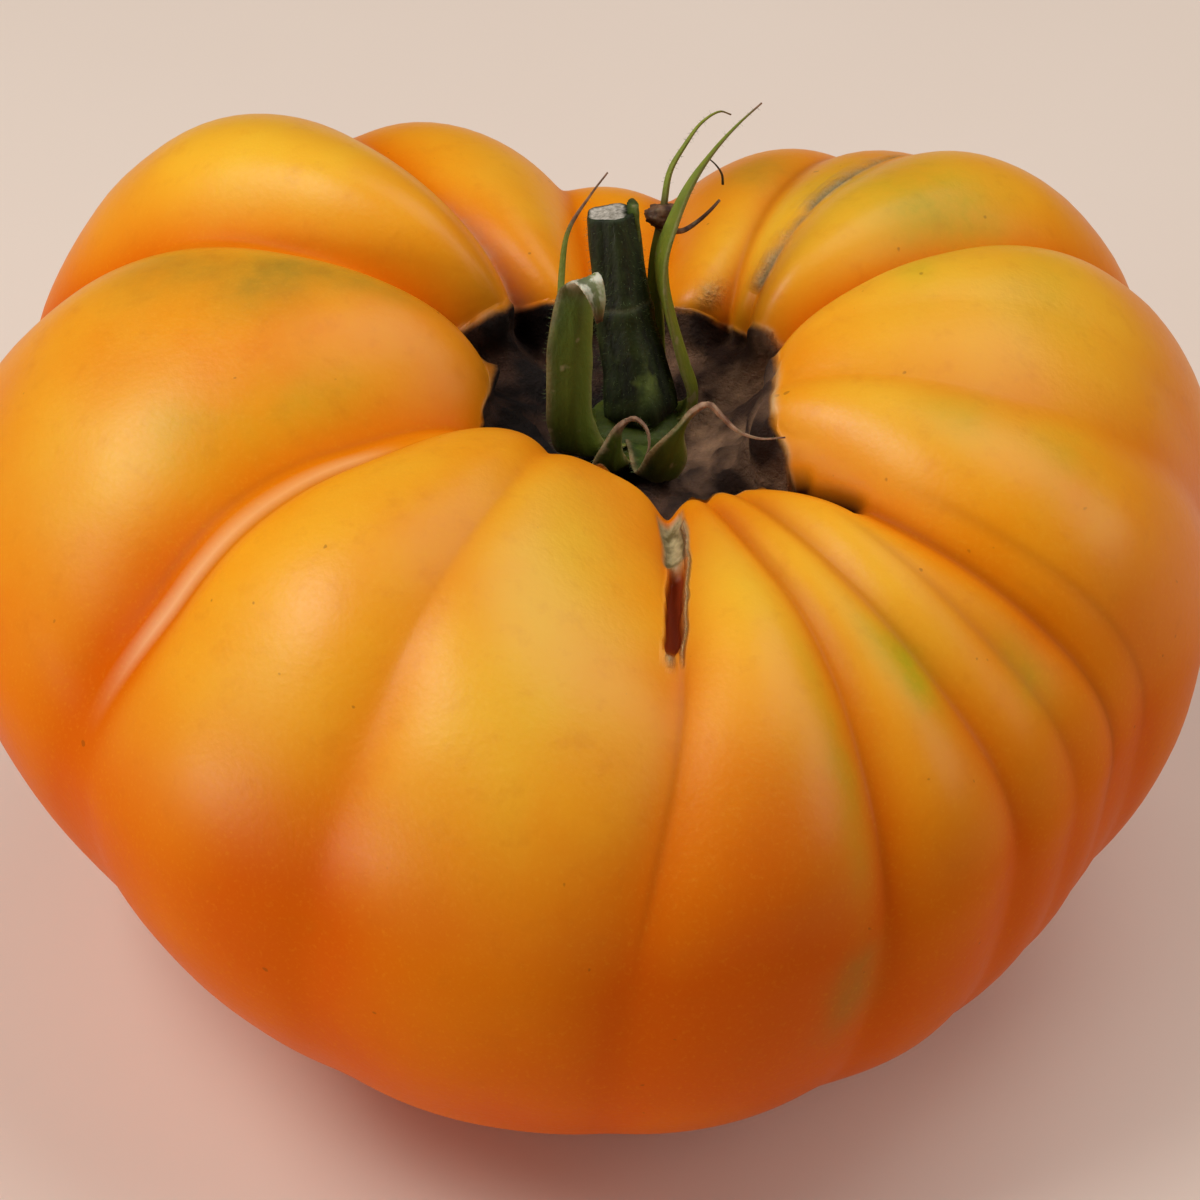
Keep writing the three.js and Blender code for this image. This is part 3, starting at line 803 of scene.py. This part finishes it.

# Sepals, each a blade along its `line`. `across` is the way of its width at the start and at the end,
# `taper` the shares of its length between which it narrows to a thread, and `cup` the curl of its
# edges. `tone` is 0 for dark green to 1 for yellow-green; the blade is dry from `dry_from` on to its
# tip, and along its edges by `edge_dry`; `pale_at` is where its fold is pale, partly bleached and partly
# painted highlight streaks, and `brown_at` where it has browned; `dry_tone` is 0 for dark brown dry parts
# to 1 for tan.
SEPALS = {
    "front_left": {
        "line": [[3.2, 1.2, 56.1], [0.9, -2, 56.2], [-0.8, -3.6, 57.2], [-1.7, -4.1, 60],
                 [-1.9, -3.4, 65.2], [-1.6, -1.9, 70], [-1.1, -0.3, 73.2], [-0.3, -1.2, 74.7],
                 [0.5, -2.3, 73.4], [0.7, -2.6, 71.2]],
        "across": [[1, 0, 0], [0.8, 0.6, 0]], "width": 4.4, "taper": [0.65, 1.1], "cup": 0.22,
        "tone": 0.3, "dry_from": 0.97, "edge_dry": 0.25, "pale_at": 0.88,
    },
    "left_thread": {
        "line": [[3, 2.5, 56.1], [-1, 1.6, 57], [-2.6, 0.6, 60.5], [-2.8, 0.6, 67.5], [-2.7, 3, 72.9],
                 [-2.1, 4.5, 76.3], [-0.1, 6.5, 78.8], [1.5, 8, 80.3]],
        "across": [[0, -1, 0], [0, -1, 0.3]], "width": 2.2, "taper": [0.1, 0.5], "cup": 0.3,
        "tone": 0.4, "dry_from": 0.8, "edge_dry": 0.1,
    },
    "behind": {
        "line": [[4.6, 4, 56.1], [3.6, 7.6, 56.8], [2.4, 10, 59.5], [1.6, 11.2, 63], [1.2, 10.6, 66.2]],
        "across": [[-1, -0.2, 0], [-1, 0, 0]], "width": 3.8, "taper": [0.3, 1.1], "cup": 0.25,
        "tone": 0.3, "dry_from": 0.75, "edge_dry": 0.4,
    },
    "back_right_thread": {
        "line": [[5, 3.4, 56.1], [6, 6.6, 57], [6, 7.8, 61], [5.9, 8.5, 67], [6, 9.5, 70.4],
                 [6.7, 11, 74.2], [7.3, 12.9, 77], [8.7, 14.6, 78.8], [10.2, 16.4, 80],
                 [11.9, 18, 80.2], [13, 19, 79.2]],
        "across": [[-1, 0.2, 0], [-0.8, 0.6, 0]], "width": 2.1, "taper": [0.2, 0.65], "cup": 0.25,
        "tone": 0.95, "dry_from": 0.97, "edge_dry": 0.1, "brown_at": 0.6,
    },
    "right_long": {
        "line": [[5.4, 2.4, 56.1], [9, 2.8, 56.9], [9.4, 3.1, 59.2], [8.6, 3.5, 62], [7.4, 4.3, 66.2],
                 [6.7, 5.3, 69.6], [6.7, 6.5, 72.2], [7.7, 8.5, 74.7], [9.3, 11, 77.1], [11.4, 14, 78.6],
                 [13.6, 17, 79.4], [15.9, 20, 79.8]],
        "across": [[0.2, 1, 0], [-0.8, 0.6, 0]], "width": 2.8, "taper": [0.35, 0.8], "cup": 0.2,
        "tone": 0.8, "dry_from": 0.95, "edge_dry": 0.2,
    },
    "front_right": {
        "line": [[4.9, 0.4, 56], [5.4, -4.2, 56.2], [5.8, -7.4, 57.2], [6.1, -9, 58.4],
                 [6.9, -9.9, 61.2], [8, -9.8, 64.3], [9.2, -9.4, 66.1], [10.6, -9.2, 66.8],
                 [11.8, -9.7, 65.8], [13.2, -10.5, 64.8], [15.2, -11.4, 64.6], [17.5, -12, 65.2]],
        "across": [[1, 0, -0.3], [0.6, 0.6, -0.3]], "width": 4.2, "taper": [0.44, 0.62], "cup": 0.15,
        "tone": 0.2, "dry_from": 0.64, "edge_dry": 0.6, "dry_tone": 0.5,
    },
    "front_short": {
        "line": [[3.8, 1, 56.1], [2.6, -4.2, 56.1], [1.7, -6.7, 58], [2, -6.9, 60.4], [2.7, -6.5, 62.2],
                 [3.9, -6.4, 63], [5, -6.9, 62.3], [5.3, -7.6, 60.8], [4.9, -8.1, 59.6]],
        "across": [[1, 0, 0], [0.7, 0.7, 0]], "width": 3.4, "taper": [0.42, 0.74], "cup": 0.15,
        "tone": 0.3, "dry_from": 0.66, "edge_dry": 0.6, "dry_tone": 0.35,
    },
}
SEPAL_RING_STEP = 0.4
SEPAL_SPANS = 14
SEPAL_THICKNESS = 0.8
SEPAL_EDGE_THICKNESS = 0.36
SEPAL_EDGE_UNEVEN = 0.09
SEPAL_RIPPLE = 0.16
SEPAL_RIB_HEIGHT = 0.22
SEPAL_RIB_SHARE = 0.2
SEPAL_VEINS = 5
SEPAL_VEIN_HEIGHT = 0.05
THREAD_THICKNESS = 0.6
THREAD_TIP = 0.25
THREAD_TIP_FROM = 0.6

# Spreads of the dry, pale and browned parts, as shares of a blade's length; NOWHERE is off its ends. The
# pale parts are partly bleached and partly painted highlight streaks.
DRY_SPREAD = 0.08
PALE_SPREAD = 0.07
BROWN_SPREAD = 0.05
NOWHERE = -9
LEAST_DRY_TONE = 0.1

# Fine hairs on the stalk and along the edges of the sepals
HAIR_LENGTH = 0.6
HAIR_THICKNESS = 0.035
HAIR_LEAN = 0.5
HAIR_SUNK = 0.06
HAIR_FACES = [(0, 2, 1), (0, 1, 3), (1, 2, 3), (2, 0, 3)]
STEM_HAIRS = 900
SEPAL_HAIRS = 900

# The fine hook and the brown sliver at the back right, and the dried lump beside them
HOOK_LINE = [[12.2, 12.8, 75.6], [12.1, 13, 76.6], [11.5, 13, 77.7], [10.7, 13.5, 78.2]]
HOOK_THICKNESS = 0.26
SLIVER_LINE = [[7.6, 8.4, 73.4], [8.6, 9.6, 72.7], [9.9, 10.6, 73], [11.1, 11.2, 73.9], [11.9, 12, 74.4]]
SLIVER_THICKNESS = 0.6
TUBE_RING_STEP = 0.3
TUBE_SIDES = 8
TUBE_TAPER = 0.55
LUMP_CENTRE = [6.6, 10.4, 73.8]
LUMP_RADIUS = [1.5, 1.1, 1.2]
LUMP_RINGS = 22
LUMP_SIDES = 32
LUMP_CRUMPLE = 0.3


def smooth_line(points, step):
    """Evenly spaced points on a centripetal Catmull-Rom curve, and the unit tangents there."""
    p = np.array(points, float)
    p = np.concatenate([[2 * p[0] - p[1]], p, [2 * p[-1] - p[-2]]])
    samples = []
    for a, b, c, d in zip(p, p[1:], p[2:], p[3:]):
        t = np.cumsum([0] + [math.sqrt(np.linalg.norm(q - r)) for q, r in ((b, a), (c, b), (d, c))])
        u = np.linspace(t[1], t[2], 40, endpoint=False)[:, None]
        ab = ((t[1] - u) * a + (u - t[0]) * b) / (t[1] - t[0])
        bc = ((t[2] - u) * b + (u - t[1]) * c) / (t[2] - t[1])
        cd = ((t[3] - u) * c + (u - t[2]) * d) / (t[3] - t[2])
        abc = ((t[2] - u) * ab + (u - t[0]) * bc) / (t[2] - t[0])
        bcd = ((t[3] - u) * bc + (u - t[1]) * cd) / (t[3] - t[1])
        samples.append(((t[2] - u) * abc + (u - t[1]) * bcd) / (t[2] - t[1]))
    samples = np.concatenate([*samples, p[-2:-1]])
    run = np.concatenate([[0], np.cumsum(np.linalg.norm(np.diff(samples, axis=0), axis=1))])
    count = max(4, math.ceil(run[-1] / step))
    at = np.linspace(0, run[-1], count + 1)
    line = np.stack([np.interp(at, run, samples[:, i]) for i in range(3)], axis=1)
    tangent = np.gradient(line, axis=0)
    return line, tangent / np.linalg.norm(tangent, axis=1, keepdims=True)


def unit(v):
    return v / np.linalg.norm(v, axis=-1, keepdims=True)


def line_noise(t, frequency, seed):
    values = [noise.noise(Vector((x * frequency, seed, 0.5))) for x in np.ravel(t)]
    return np.array(values).reshape(np.shape(t))


def full_turn(sides):
    return np.linspace(0, 2 * math.pi, sides, endpoint=False)


def rings_along(line, along, aside, turn, reach):
    """Rings round the points of a line, `reach` away from it; `aside` is a way across it."""
    sideways = unit(np.cross(aside, along))
    back = np.cross(along, sideways)
    spokes = sideways[:, None] * np.cos(turn)[..., None] + back[:, None] * np.sin(turn)[..., None]
    return line[:, None] + spokes * reach[..., None]


def blade_rings(sepal, line, along, t, u, seed):
    """Rings of a cupped blade with a midrib, veins and uneven edges, which narrows to a thread.

    `t` runs along the blade; `u` runs from one edge to the other, over the blade and back under it.
    """
    first, last = np.array(sepal["across"], float)
    across = (1 - t) * first + t * last
    width_way = unit(across - np.sum(across * along, axis=1, keepdims=True) * along)
    inward = np.cross(along, width_way)
    wide_until, thread_from = sepal["taper"]
    thread = smoothstep((t - wide_until) / (thread_from - wide_until))
    blade = 1 - thread
    point = 1 - (1 - THREAD_TIP) * thread * smoothstep((t - THREAD_TIP_FROM) / (1 - THREAD_TIP_FROM))
    thread_part = thread * THREAD_THICKNESS * point
    half = (blade * sepal["width"] + thread_part) / 2

    side = np.repeat([-1.0, 1.0], SEPAL_SPANS + 1)[None, :]
    edge_noise = np.where(u < 0, line_noise(t, 9, seed), line_noise(t, 11, seed + 7))
    sideways = u * half * (1 + SEPAL_EDGE_UNEVEN * blade * edge_noise)
    middle = blade * SEPAL_THICKNESS + thread_part
    edge = blade * SEPAL_EDGE_THICKNESS + thread_part
    thickness = middle * (1 - u * u) + edge * u * u
    thickness = thickness * np.sqrt(np.clip(1 - 0.9 * u ** 8, 0, 1))
    ripple = SEPAL_RIPPLE * blade * u * u * line_noise(t, 7, seed + 3)
    veins = SEPAL_VEIN_HEIGHT * blade * np.cos(SEPAL_VEINS * math.pi * u) * (1 - u * u)
    rib = SEPAL_RIB_HEIGHT * blade * bump_at(u, 0, SEPAL_RIB_SHARE) * (side < 0)
    lift = sepal["cup"] * half * u * u + side * thickness / 2 + ripple - rib + veins
    blade_points = line[:, None] + width_way[:, None] * sideways[..., None]
    return blade_points + inward[:, None] * lift[..., None]


def blade_shares(sepal, t, u, seed):
    """Shares that colour a blade: its dry, pale and browned parts, and how green the rest is; the pale
    fold is partly bleached and partly painted highlight streaks.
    """
    everywhere = 0 * t + 0 * u
    edge_noise = 0.7 + 0.6 * line_noise(t, 12, seed + 1)
    edge = sepal["edge_dry"] * smoothstep((np.abs(u) - 0.72) / 0.25) * edge_noise
    streaks = 0.75 + 0.5 * line_noise(t, 40, seed + 5)
    pale = bump_at(t, sepal.get("pale_at", NOWHERE), PALE_SPREAD) * streaks
    return {
        "dry": everywhere + smoothstep((t - sepal["dry_from"]) / DRY_SPREAD + 0.5),
        "edge": np.clip(edge, 0, 1),
        "pale": everywhere + np.clip(pale, 0, 1),
        "brown": everywhere + bump_at(t, sepal.get("brown_at", NOWHERE), BROWN_SPREAD),
        "tone": everywhere + sepal["tone"] + 0.25 * u,
        "across": everywhere + u,
        "dry_tone": everywhere + sepal.get("dry_tone", LEAST_DRY_TONE),
    }


def make_blade(name, sepal, node, material, seed):
    line, along = smooth_line(sepal["line"], SEPAL_RING_STEP)
    t = np.linspace(0, 1, len(line))[:, None]
    u = np.cos(np.linspace(math.pi, 0, SEPAL_SPANS + 1))
    u = np.concatenate([u, u[::-1]])[None, :]
    rings = blade_rings(sepal, line, along, t, u, seed)
    piece = lofted(name, rings, line[0], line[-1])
    for share, values in blade_shares(sepal, t, u, seed).items():
        set_attribute(piece, share, values)
    finish_piece(piece, material, node)
    return rings


def sepal_material():
    m = Material("sepal")
    streaks = m.noise(900, 3, 0.6, (1, 1, 0.25))
    grain = m.noise(3500, 2)
    green = m.mix(m.ramp(m.attribute("tone"), 0, 1), colour(34, 52, 10), colour(134, 140, 36))
    green = m.mix(m.ramp(streaks, 0.4, 0.7, 0, 0.5), green, colour(84, 100, 26))
    green = m.mix(m.ramp(m.attribute("across"), 0.1, 0.7, 0, 0.35), green, colour(112, 132, 44))
    dried = m.mix(m.ramp(streaks, 0.35, 0.65), colour(66, 40, 28), colour(132, 96, 68))
    light_dried = m.mix(m.ramp(streaks, 0.35, 0.65), colour(128, 84, 64), colour(204, 168, 138))
    dried = m.mix(m.attribute("dry_tone"), dried, light_dried)
    tan = m.mix(m.ramp(grain, 0.35, 0.65), colour(170, 130, 92), colour(208, 178, 136))
    base = m.tint(green, "edge", tan)
    base = m.tint(base, "dry", dried)
    base = m.tint(base, "brown", colour(92, 52, 48))
    flecks = m.ramp(m.noise(480, 2), 0.64, 0.7, 0.0, 0.55)
    base = m.mix(flecks, base, colour(150, 132, 98))
    # The pale fold, with streaks: partly bleached, partly painted highlight.
    base = m.tint(base, "pale", colour(214, 210, 188), m.ramp(streaks, 0.42, 0.56, 0.15, 1.0))
    normal = m.bump(streaks, 0.0003, 0.5)
    normal = m.bump(grain, 0.0001, 0.4, normal)
    m.set(Base_Color=base, Roughness=m.ramp(grain, 0.3, 0.7, 0.5, 0.7), Normal=normal,
          Subsurface_Weight=0.08, Subsurface_Scale=0.0008, Specular_IOR_Level=0.3)
    return m.material


def stem_reach(t, turn, groove):
    """How far the stalk's surface stands from its middle: ridged, with a joint half way up."""
    stations = np.linspace(0, 1, len(STEM_RADIUS))
    knuckle = bump_at(t, STEM_KNUCKLE_AT, STEM_KNUCKLE_WIDTH)
    radius = ramp_through(stations, STEM_RADIUS, t)
    radius = radius + STEM_KNUCKLE_HEIGHT * knuckle - STEM_GROOVE_DEPTH * groove
    ridges = STEM_RIDGE_HEIGHT * np.cos(STEM_RIDGES * turn)
    ridges = ridges + 0.012 * np.cos(STEM_FINE_RIDGES * turn + 3 * line_noise(t, 3, 2.0))
    ridges = ridges + 0.008 * np.cos(STEM_FINEST_RIDGES * turn)
    bevel = 1 - STEM_BEVEL * smoothstep((t - STEM_BEVEL_FROM) / (1 - STEM_BEVEL_FROM))
    return (radius * (1 + ridges) + STEM_UNEVEN * line_noise(t, 8, 4.0)) * bevel


def cut_rings(rim, centre, up, turn):
    """Ever smaller rings over the ragged cut face, which dips between its rim and the pith."""
    rings = []
    for share in STEM_CUT_RINGS:
        dip = STEM_CUT_DIP * math.sin(math.pi * min(1, (1 - share) * 1.5))
        rise = STEM_PITH_HEIGHT * (share < 0.7) - dip
        ragged = [noise.noise(Vector((math.cos(a) * 3, math.sin(a) * 3, share * 5))) for a in turn]
        lift = rise + STEM_CUT_RAGGED * np.array(ragged)[:, None]
        rings.append(centre + (rim - centre) * share + up * lift)
    return np.array(rings)


def make_stem():
    """The stalk with its pale cut face, which stops short of a strip of skin on its right."""
    step = np.linalg.norm(np.array(STEM_LINE[-1]) - STEM_LINE[0]) / STEM_RINGS
    line, along = smooth_line(STEM_LINE, step)
    along[0] = (0, 0, 1)
    centre = line[-1]
    up = along[-1]
    t = np.linspace(0, 1, len(line))[:, None]
    turn = full_turn(STEM_SIDES)[None, :]
    groove = bump_at(t, STEM_GROOVE_AT, STEM_GROOVE_WIDTH)
    rings = rings_along(line, along, [0, 1, 0], turn, stem_reach(t, turn, groove))
    caps = cut_rings(rings[-1], centre, up, turn[0])
    all_rings = np.concatenate([rings, caps])
    piece = lofted("stem_stalk", all_rings, line[0], centre + up * (STEM_PITH_HEIGHT - STEM_CUT_DIP))

    off_cut = np.zeros(rings.shape[:2])
    on_cut = np.zeros(caps.shape[:2])
    cut = np.concatenate([off_cut, on_cut + 1])
    cut[len(rings)] = STEM_CUT_RIM
    cut *= smoothstep((STEM_CUT_RIGHT - all_rings[..., 0] + centre[0]) / 0.3 + 0.5)
    foot = off_cut + bump_at(t, STEM_FOOT_AT, STEM_FOOT_SPREAD)
    ridge = off_cut + 0.5 + 0.5 * np.cos(STEM_RIDGES * turn)
    set_attribute(piece, "cut", cut)
    set_attribute(piece, "foot", np.concatenate([foot, on_cut]))
    set_attribute(piece, "ridge", np.concatenate([ridge, on_cut]))
    set_attribute(piece, "joint_ring", np.concatenate([off_cut + groove, on_cut]))
    finish_piece(piece, stem_material(), "stem")
    return rings


def stem_material():
    m = Material("stem")
    streaks = m.noise(1100, 3, 0.6, (1, 1, 0.12))
    blotch = m.noise(260, 3)
    base = m.mix(m.ramp(streaks, 0.38, 0.66), colour(15, 20, 6), colour(40, 50, 16))
    base = m.tint(base, "ridge", colour(56, 68, 22), m.ramp(blotch, 0.4, 0.7, 0.1, 0.8))
    base = m.tint(base, "foot", colour(104, 118, 50), m.ramp(blotch, 0.45, 0.6))
    base = m.tint(base, "joint_ring", colour(104, 100, 72), 0.35)
    fibres = m.mix(m.ramp(m.noise(2200, 3), 0.35, 0.65), colour(142, 134, 120), colour(208, 198, 184))
    base = m.tint(base, "cut", fibres)
    normal = m.bump(streaks, 0.0004, 0.5)
    normal = m.bump(m.noise(3200, 2), 0.0001, 0.5, normal)
    m.set(Base_Color=base, Roughness=m.ramp(streaks, 0.3, 0.7, 0.5, 0.72), Normal=normal,
          Specular_IOR_Level=0.35)
    return m.material


def make_receptacle(material):
    """The swollen disc under the sepals, with a lobed edge."""
    turn = full_turn(RECEPTACLE_SIDES)
    profile, _ = smooth_line([[r, 0, z] for r, z in RECEPTACLE_PROFILE], RECEPTACLE_RING_STEP)
    x, y = RECEPTACLE_CENTRE
    rings = []
    for r, _, z in profile[1:-1]:
        reach = max(r, 0.05) * (1 + RECEPTACLE_LOBE_SHARE * np.cos(RECEPTACLE_LOBES * turn))
        ring = [x + reach * np.cos(turn), y + reach * np.sin(turn), np.full_like(turn, z)]
        rings.append(np.stack(ring, axis=1))
    low = [x, y, RECEPTACLE_PROFILE[0][1]]
    high = [x, y, RECEPTACLE_PROFILE[-1][1]]
    piece = lofted("receptacle", rings, low, high)
    set_attribute(piece, "tone", np.full(len(rings) * RECEPTACLE_SIDES, RECEPTACLE_TONE))
    finish_piece(piece, material, "calyx")


def make_hairs(name, sources, count, node, material):
    """Short fine hairs, each a slim closed spike that stands on a point of a ring.

    A source is a list of rings, and the columns of its points that bear hairs.
    """
    chance = random.Random(name)
    vertices = []
    faces = []
    for _ in range(count):
        rings, columns = chance.choice(sources)
        ring = rings[chance.randrange(2, len(rings) - 2)]
        root = ring[chance.choice(columns)]
        lean = np.array([chance.uniform(-HAIR_LEAN, HAIR_LEAN) for _ in range(3)])
        way = unit(unit(root - ring.mean(axis=0)) + lean)
        tip = root + way * HAIR_LENGTH * chance.uniform(0.4, 1)
        side = unit(np.cross(way, [0.3, 0.5, 0.8])) * HAIR_THICKNESS / 2
        back = np.cross(way, side)
        base = root - way * HAIR_SUNK
        start = len(vertices)
        vertices += [base + side, base - 0.5 * side + 0.87 * back, base - 0.5 * side - 0.87 * back, tip]
        faces += [tuple(start + corner for corner in face) for face in HAIR_FACES]
    finish_piece(mesh_object(name, vertices, faces), material, node)


def hair_material():
    m = Material("fine_hair")
    m.set(Base_Color=colour(112, 126, 82), Roughness=0.7, Specular_IOR_Level=0.2)
    return m.material


def make_tube(name, points, thickness, material, dryness):
    """A thin round thread, thinner towards its end."""
    line, along = smooth_line(points, TUBE_RING_STEP)
    t = np.linspace(0, 1, len(line))[:, None]
    reach = thickness / 2 * (1 - TUBE_TAPER * t)
    rings = rings_along(line, along, [-0.1, -0.2, -1], full_turn(TUBE_SIDES)[None, :], reach)
    piece = lofted(name, rings, line[0], line[-1])
    set_attribute(piece, "dry", np.full(len(line) * TUBE_SIDES, dryness))
    finish_piece(piece, material, "calyx")


def make_lump(material):
    """The dried, crumpled end of a sepal."""
    turn = full_turn(LUMP_SIDES)
    rings = []
    for h in np.linspace(-0.96, 0.96, LUMP_RINGS):
        flat = math.sqrt(1 - h * h)
        ring = np.stack([flat * np.cos(turn), flat * np.sin(turn), np.full_like(turn, h)], axis=1)
        crumple = 1 + LUMP_CRUMPLE * np.array([noise.fractal(Vector(p * 1.7), 1.0, 2.0, 3) for p in ring])
        rings.append(np.array(LUMP_CENTRE) + ring * np.array(LUMP_RADIUS) * crumple[:, None])
    piece = lofted("dried_lump", rings, rings[0].mean(axis=0), rings[-1].mean(axis=0))
    set_attribute(piece, "dry", np.ones(LUMP_RINGS * LUMP_SIDES))
    finish_piece(piece, material, "calyx")


# The camera looks down at the front of the fruit
CAMERA_TARGET = [0.8, 0, 36]
CAMERA_DISTANCE = 450
CAMERA_ELEVATION = 40
CAMERA_LENS = 140.4


def make_camera():
    elevation = math.radians(CAMERA_ELEVATION)
    data = bpy.data.cameras.new("camera")
    data.lens = CAMERA_LENS
    data.clip_start = 0.01
    camera = bpy.data.objects.new("camera", data)
    away = Vector((0, -math.cos(elevation), math.sin(elevation))) * CAMERA_DISTANCE
    camera.location = (Vector(CAMERA_TARGET) + away) * MM
    camera.rotation_euler = (math.pi / 2 - elevation, 0, 0)
    bpy.context.scene.collection.objects.link(camera)
    bpy.context.scene.camera = camera


def make_light(name, direction, distance, size, power, tint):
    data = bpy.data.lights.new(name, "AREA")
    data.shape = "RECTANGLE"
    data.size, data.size_y = (side * MM for side in size)
    data.energy = power
    data.color = tint
    light = bpy.data.objects.new(name, data)
    place = Vector(direction).normalized() * distance
    light.location = (Vector(CAMERA_TARGET) + place) * MM
    light.rotation_euler = place.to_track_quat("Z", "Y").to_euler()
    bpy.context.scene.collection.objects.link(light)


# Window light from the left, a weaker one from the right and a broad one from above: the way to each
# from the fruit, its distance, its sides, its power in watts and its tint
WINDOW_TINT = (1, 0.98, 0.95)
LIGHTS = {
    "window_left_high": ((-0.6, -0.1, 0.9), 700, (400, 300), 2.75, WINDOW_TINT),
    "window_left_low": ((-0.86, -0.48, 0.15), 1150, (520, 290), 4.3, WINDOW_TINT),
    "window_right": ((0.9, -0.1, 0.55), 700, (460, 400), 1.15, WINDOW_TINT),
    "overhead": ((0.4, 0.25, 1), 800, (600, 600), 2.35, (1, 0.99, 0.97)),
}
STUDIO_TINT = (1, 0.97, 0.94, 1)
STUDIO_STRENGTH = 0.05
FLOOR_HALF = 3000


def make_studio():
    for name, values in LIGHTS.items():
        make_light(name, *values)
    world = bpy.data.worlds.new("studio")
    world.use_nodes = True
    background = world.node_tree.nodes["Background"]
    background.inputs["Color"].default_value = STUDIO_TINT
    background.inputs["Strength"].default_value = STUDIO_STRENGTH
    bpy.context.scene.world = world
    bpy.context.scene.view_settings.view_transform = "Standard"


def make_floor():
    corners = [[x * FLOOR_HALF, y * FLOOR_HALF, 0] for x, y in ((-1, -1), (1, -1), (1, 1), (-1, 1))]
    floor = mesh_object("floor", corners, [(0, 1, 2, 3)])
    m = Material("floor")
    m.set(Base_Color=m.mix(m.noise(9, 4), colour(238, 218, 203), colour(245, 228, 214)), Roughness=0.6)
    floor.data.materials.append(m.material)


def make_calyx(stem_rings):
    material = sepal_material()
    edge_columns = [0, SEPAL_SPANS, SEPAL_SPANS + 1, 2 * SEPAL_SPANS + 1]
    hairy = []
    for i, (name, sepal) in enumerate(SEPALS.items()):
        rings = make_blade(f"sepal_{name}", sepal, "calyx", material, 10.0 * i)
        hairy.append((rings, edge_columns))
    make_receptacle(material)
    make_tube("fine_hook", HOOK_LINE, HOOK_THICKNESS, material, 0.5)
    make_tube("brown_sliver", SLIVER_LINE, SLIVER_THICKNESS, material, 1.0)
    make_lump(material)
    make_blade("stem_spur", SPUR, "stem", material, 99.0)
    hair = hair_material()
    make_hairs("sepal_hairs", hairy, SEPAL_HAIRS, "calyx", hair)
    make_hairs("stem_hairs", [(stem_rings, range(STEM_SIDES))], STEM_HAIRS, "stem", hair)


make_camera()
make_studio()
make_floor()
make_fruit()
make_calyx(make_stem())
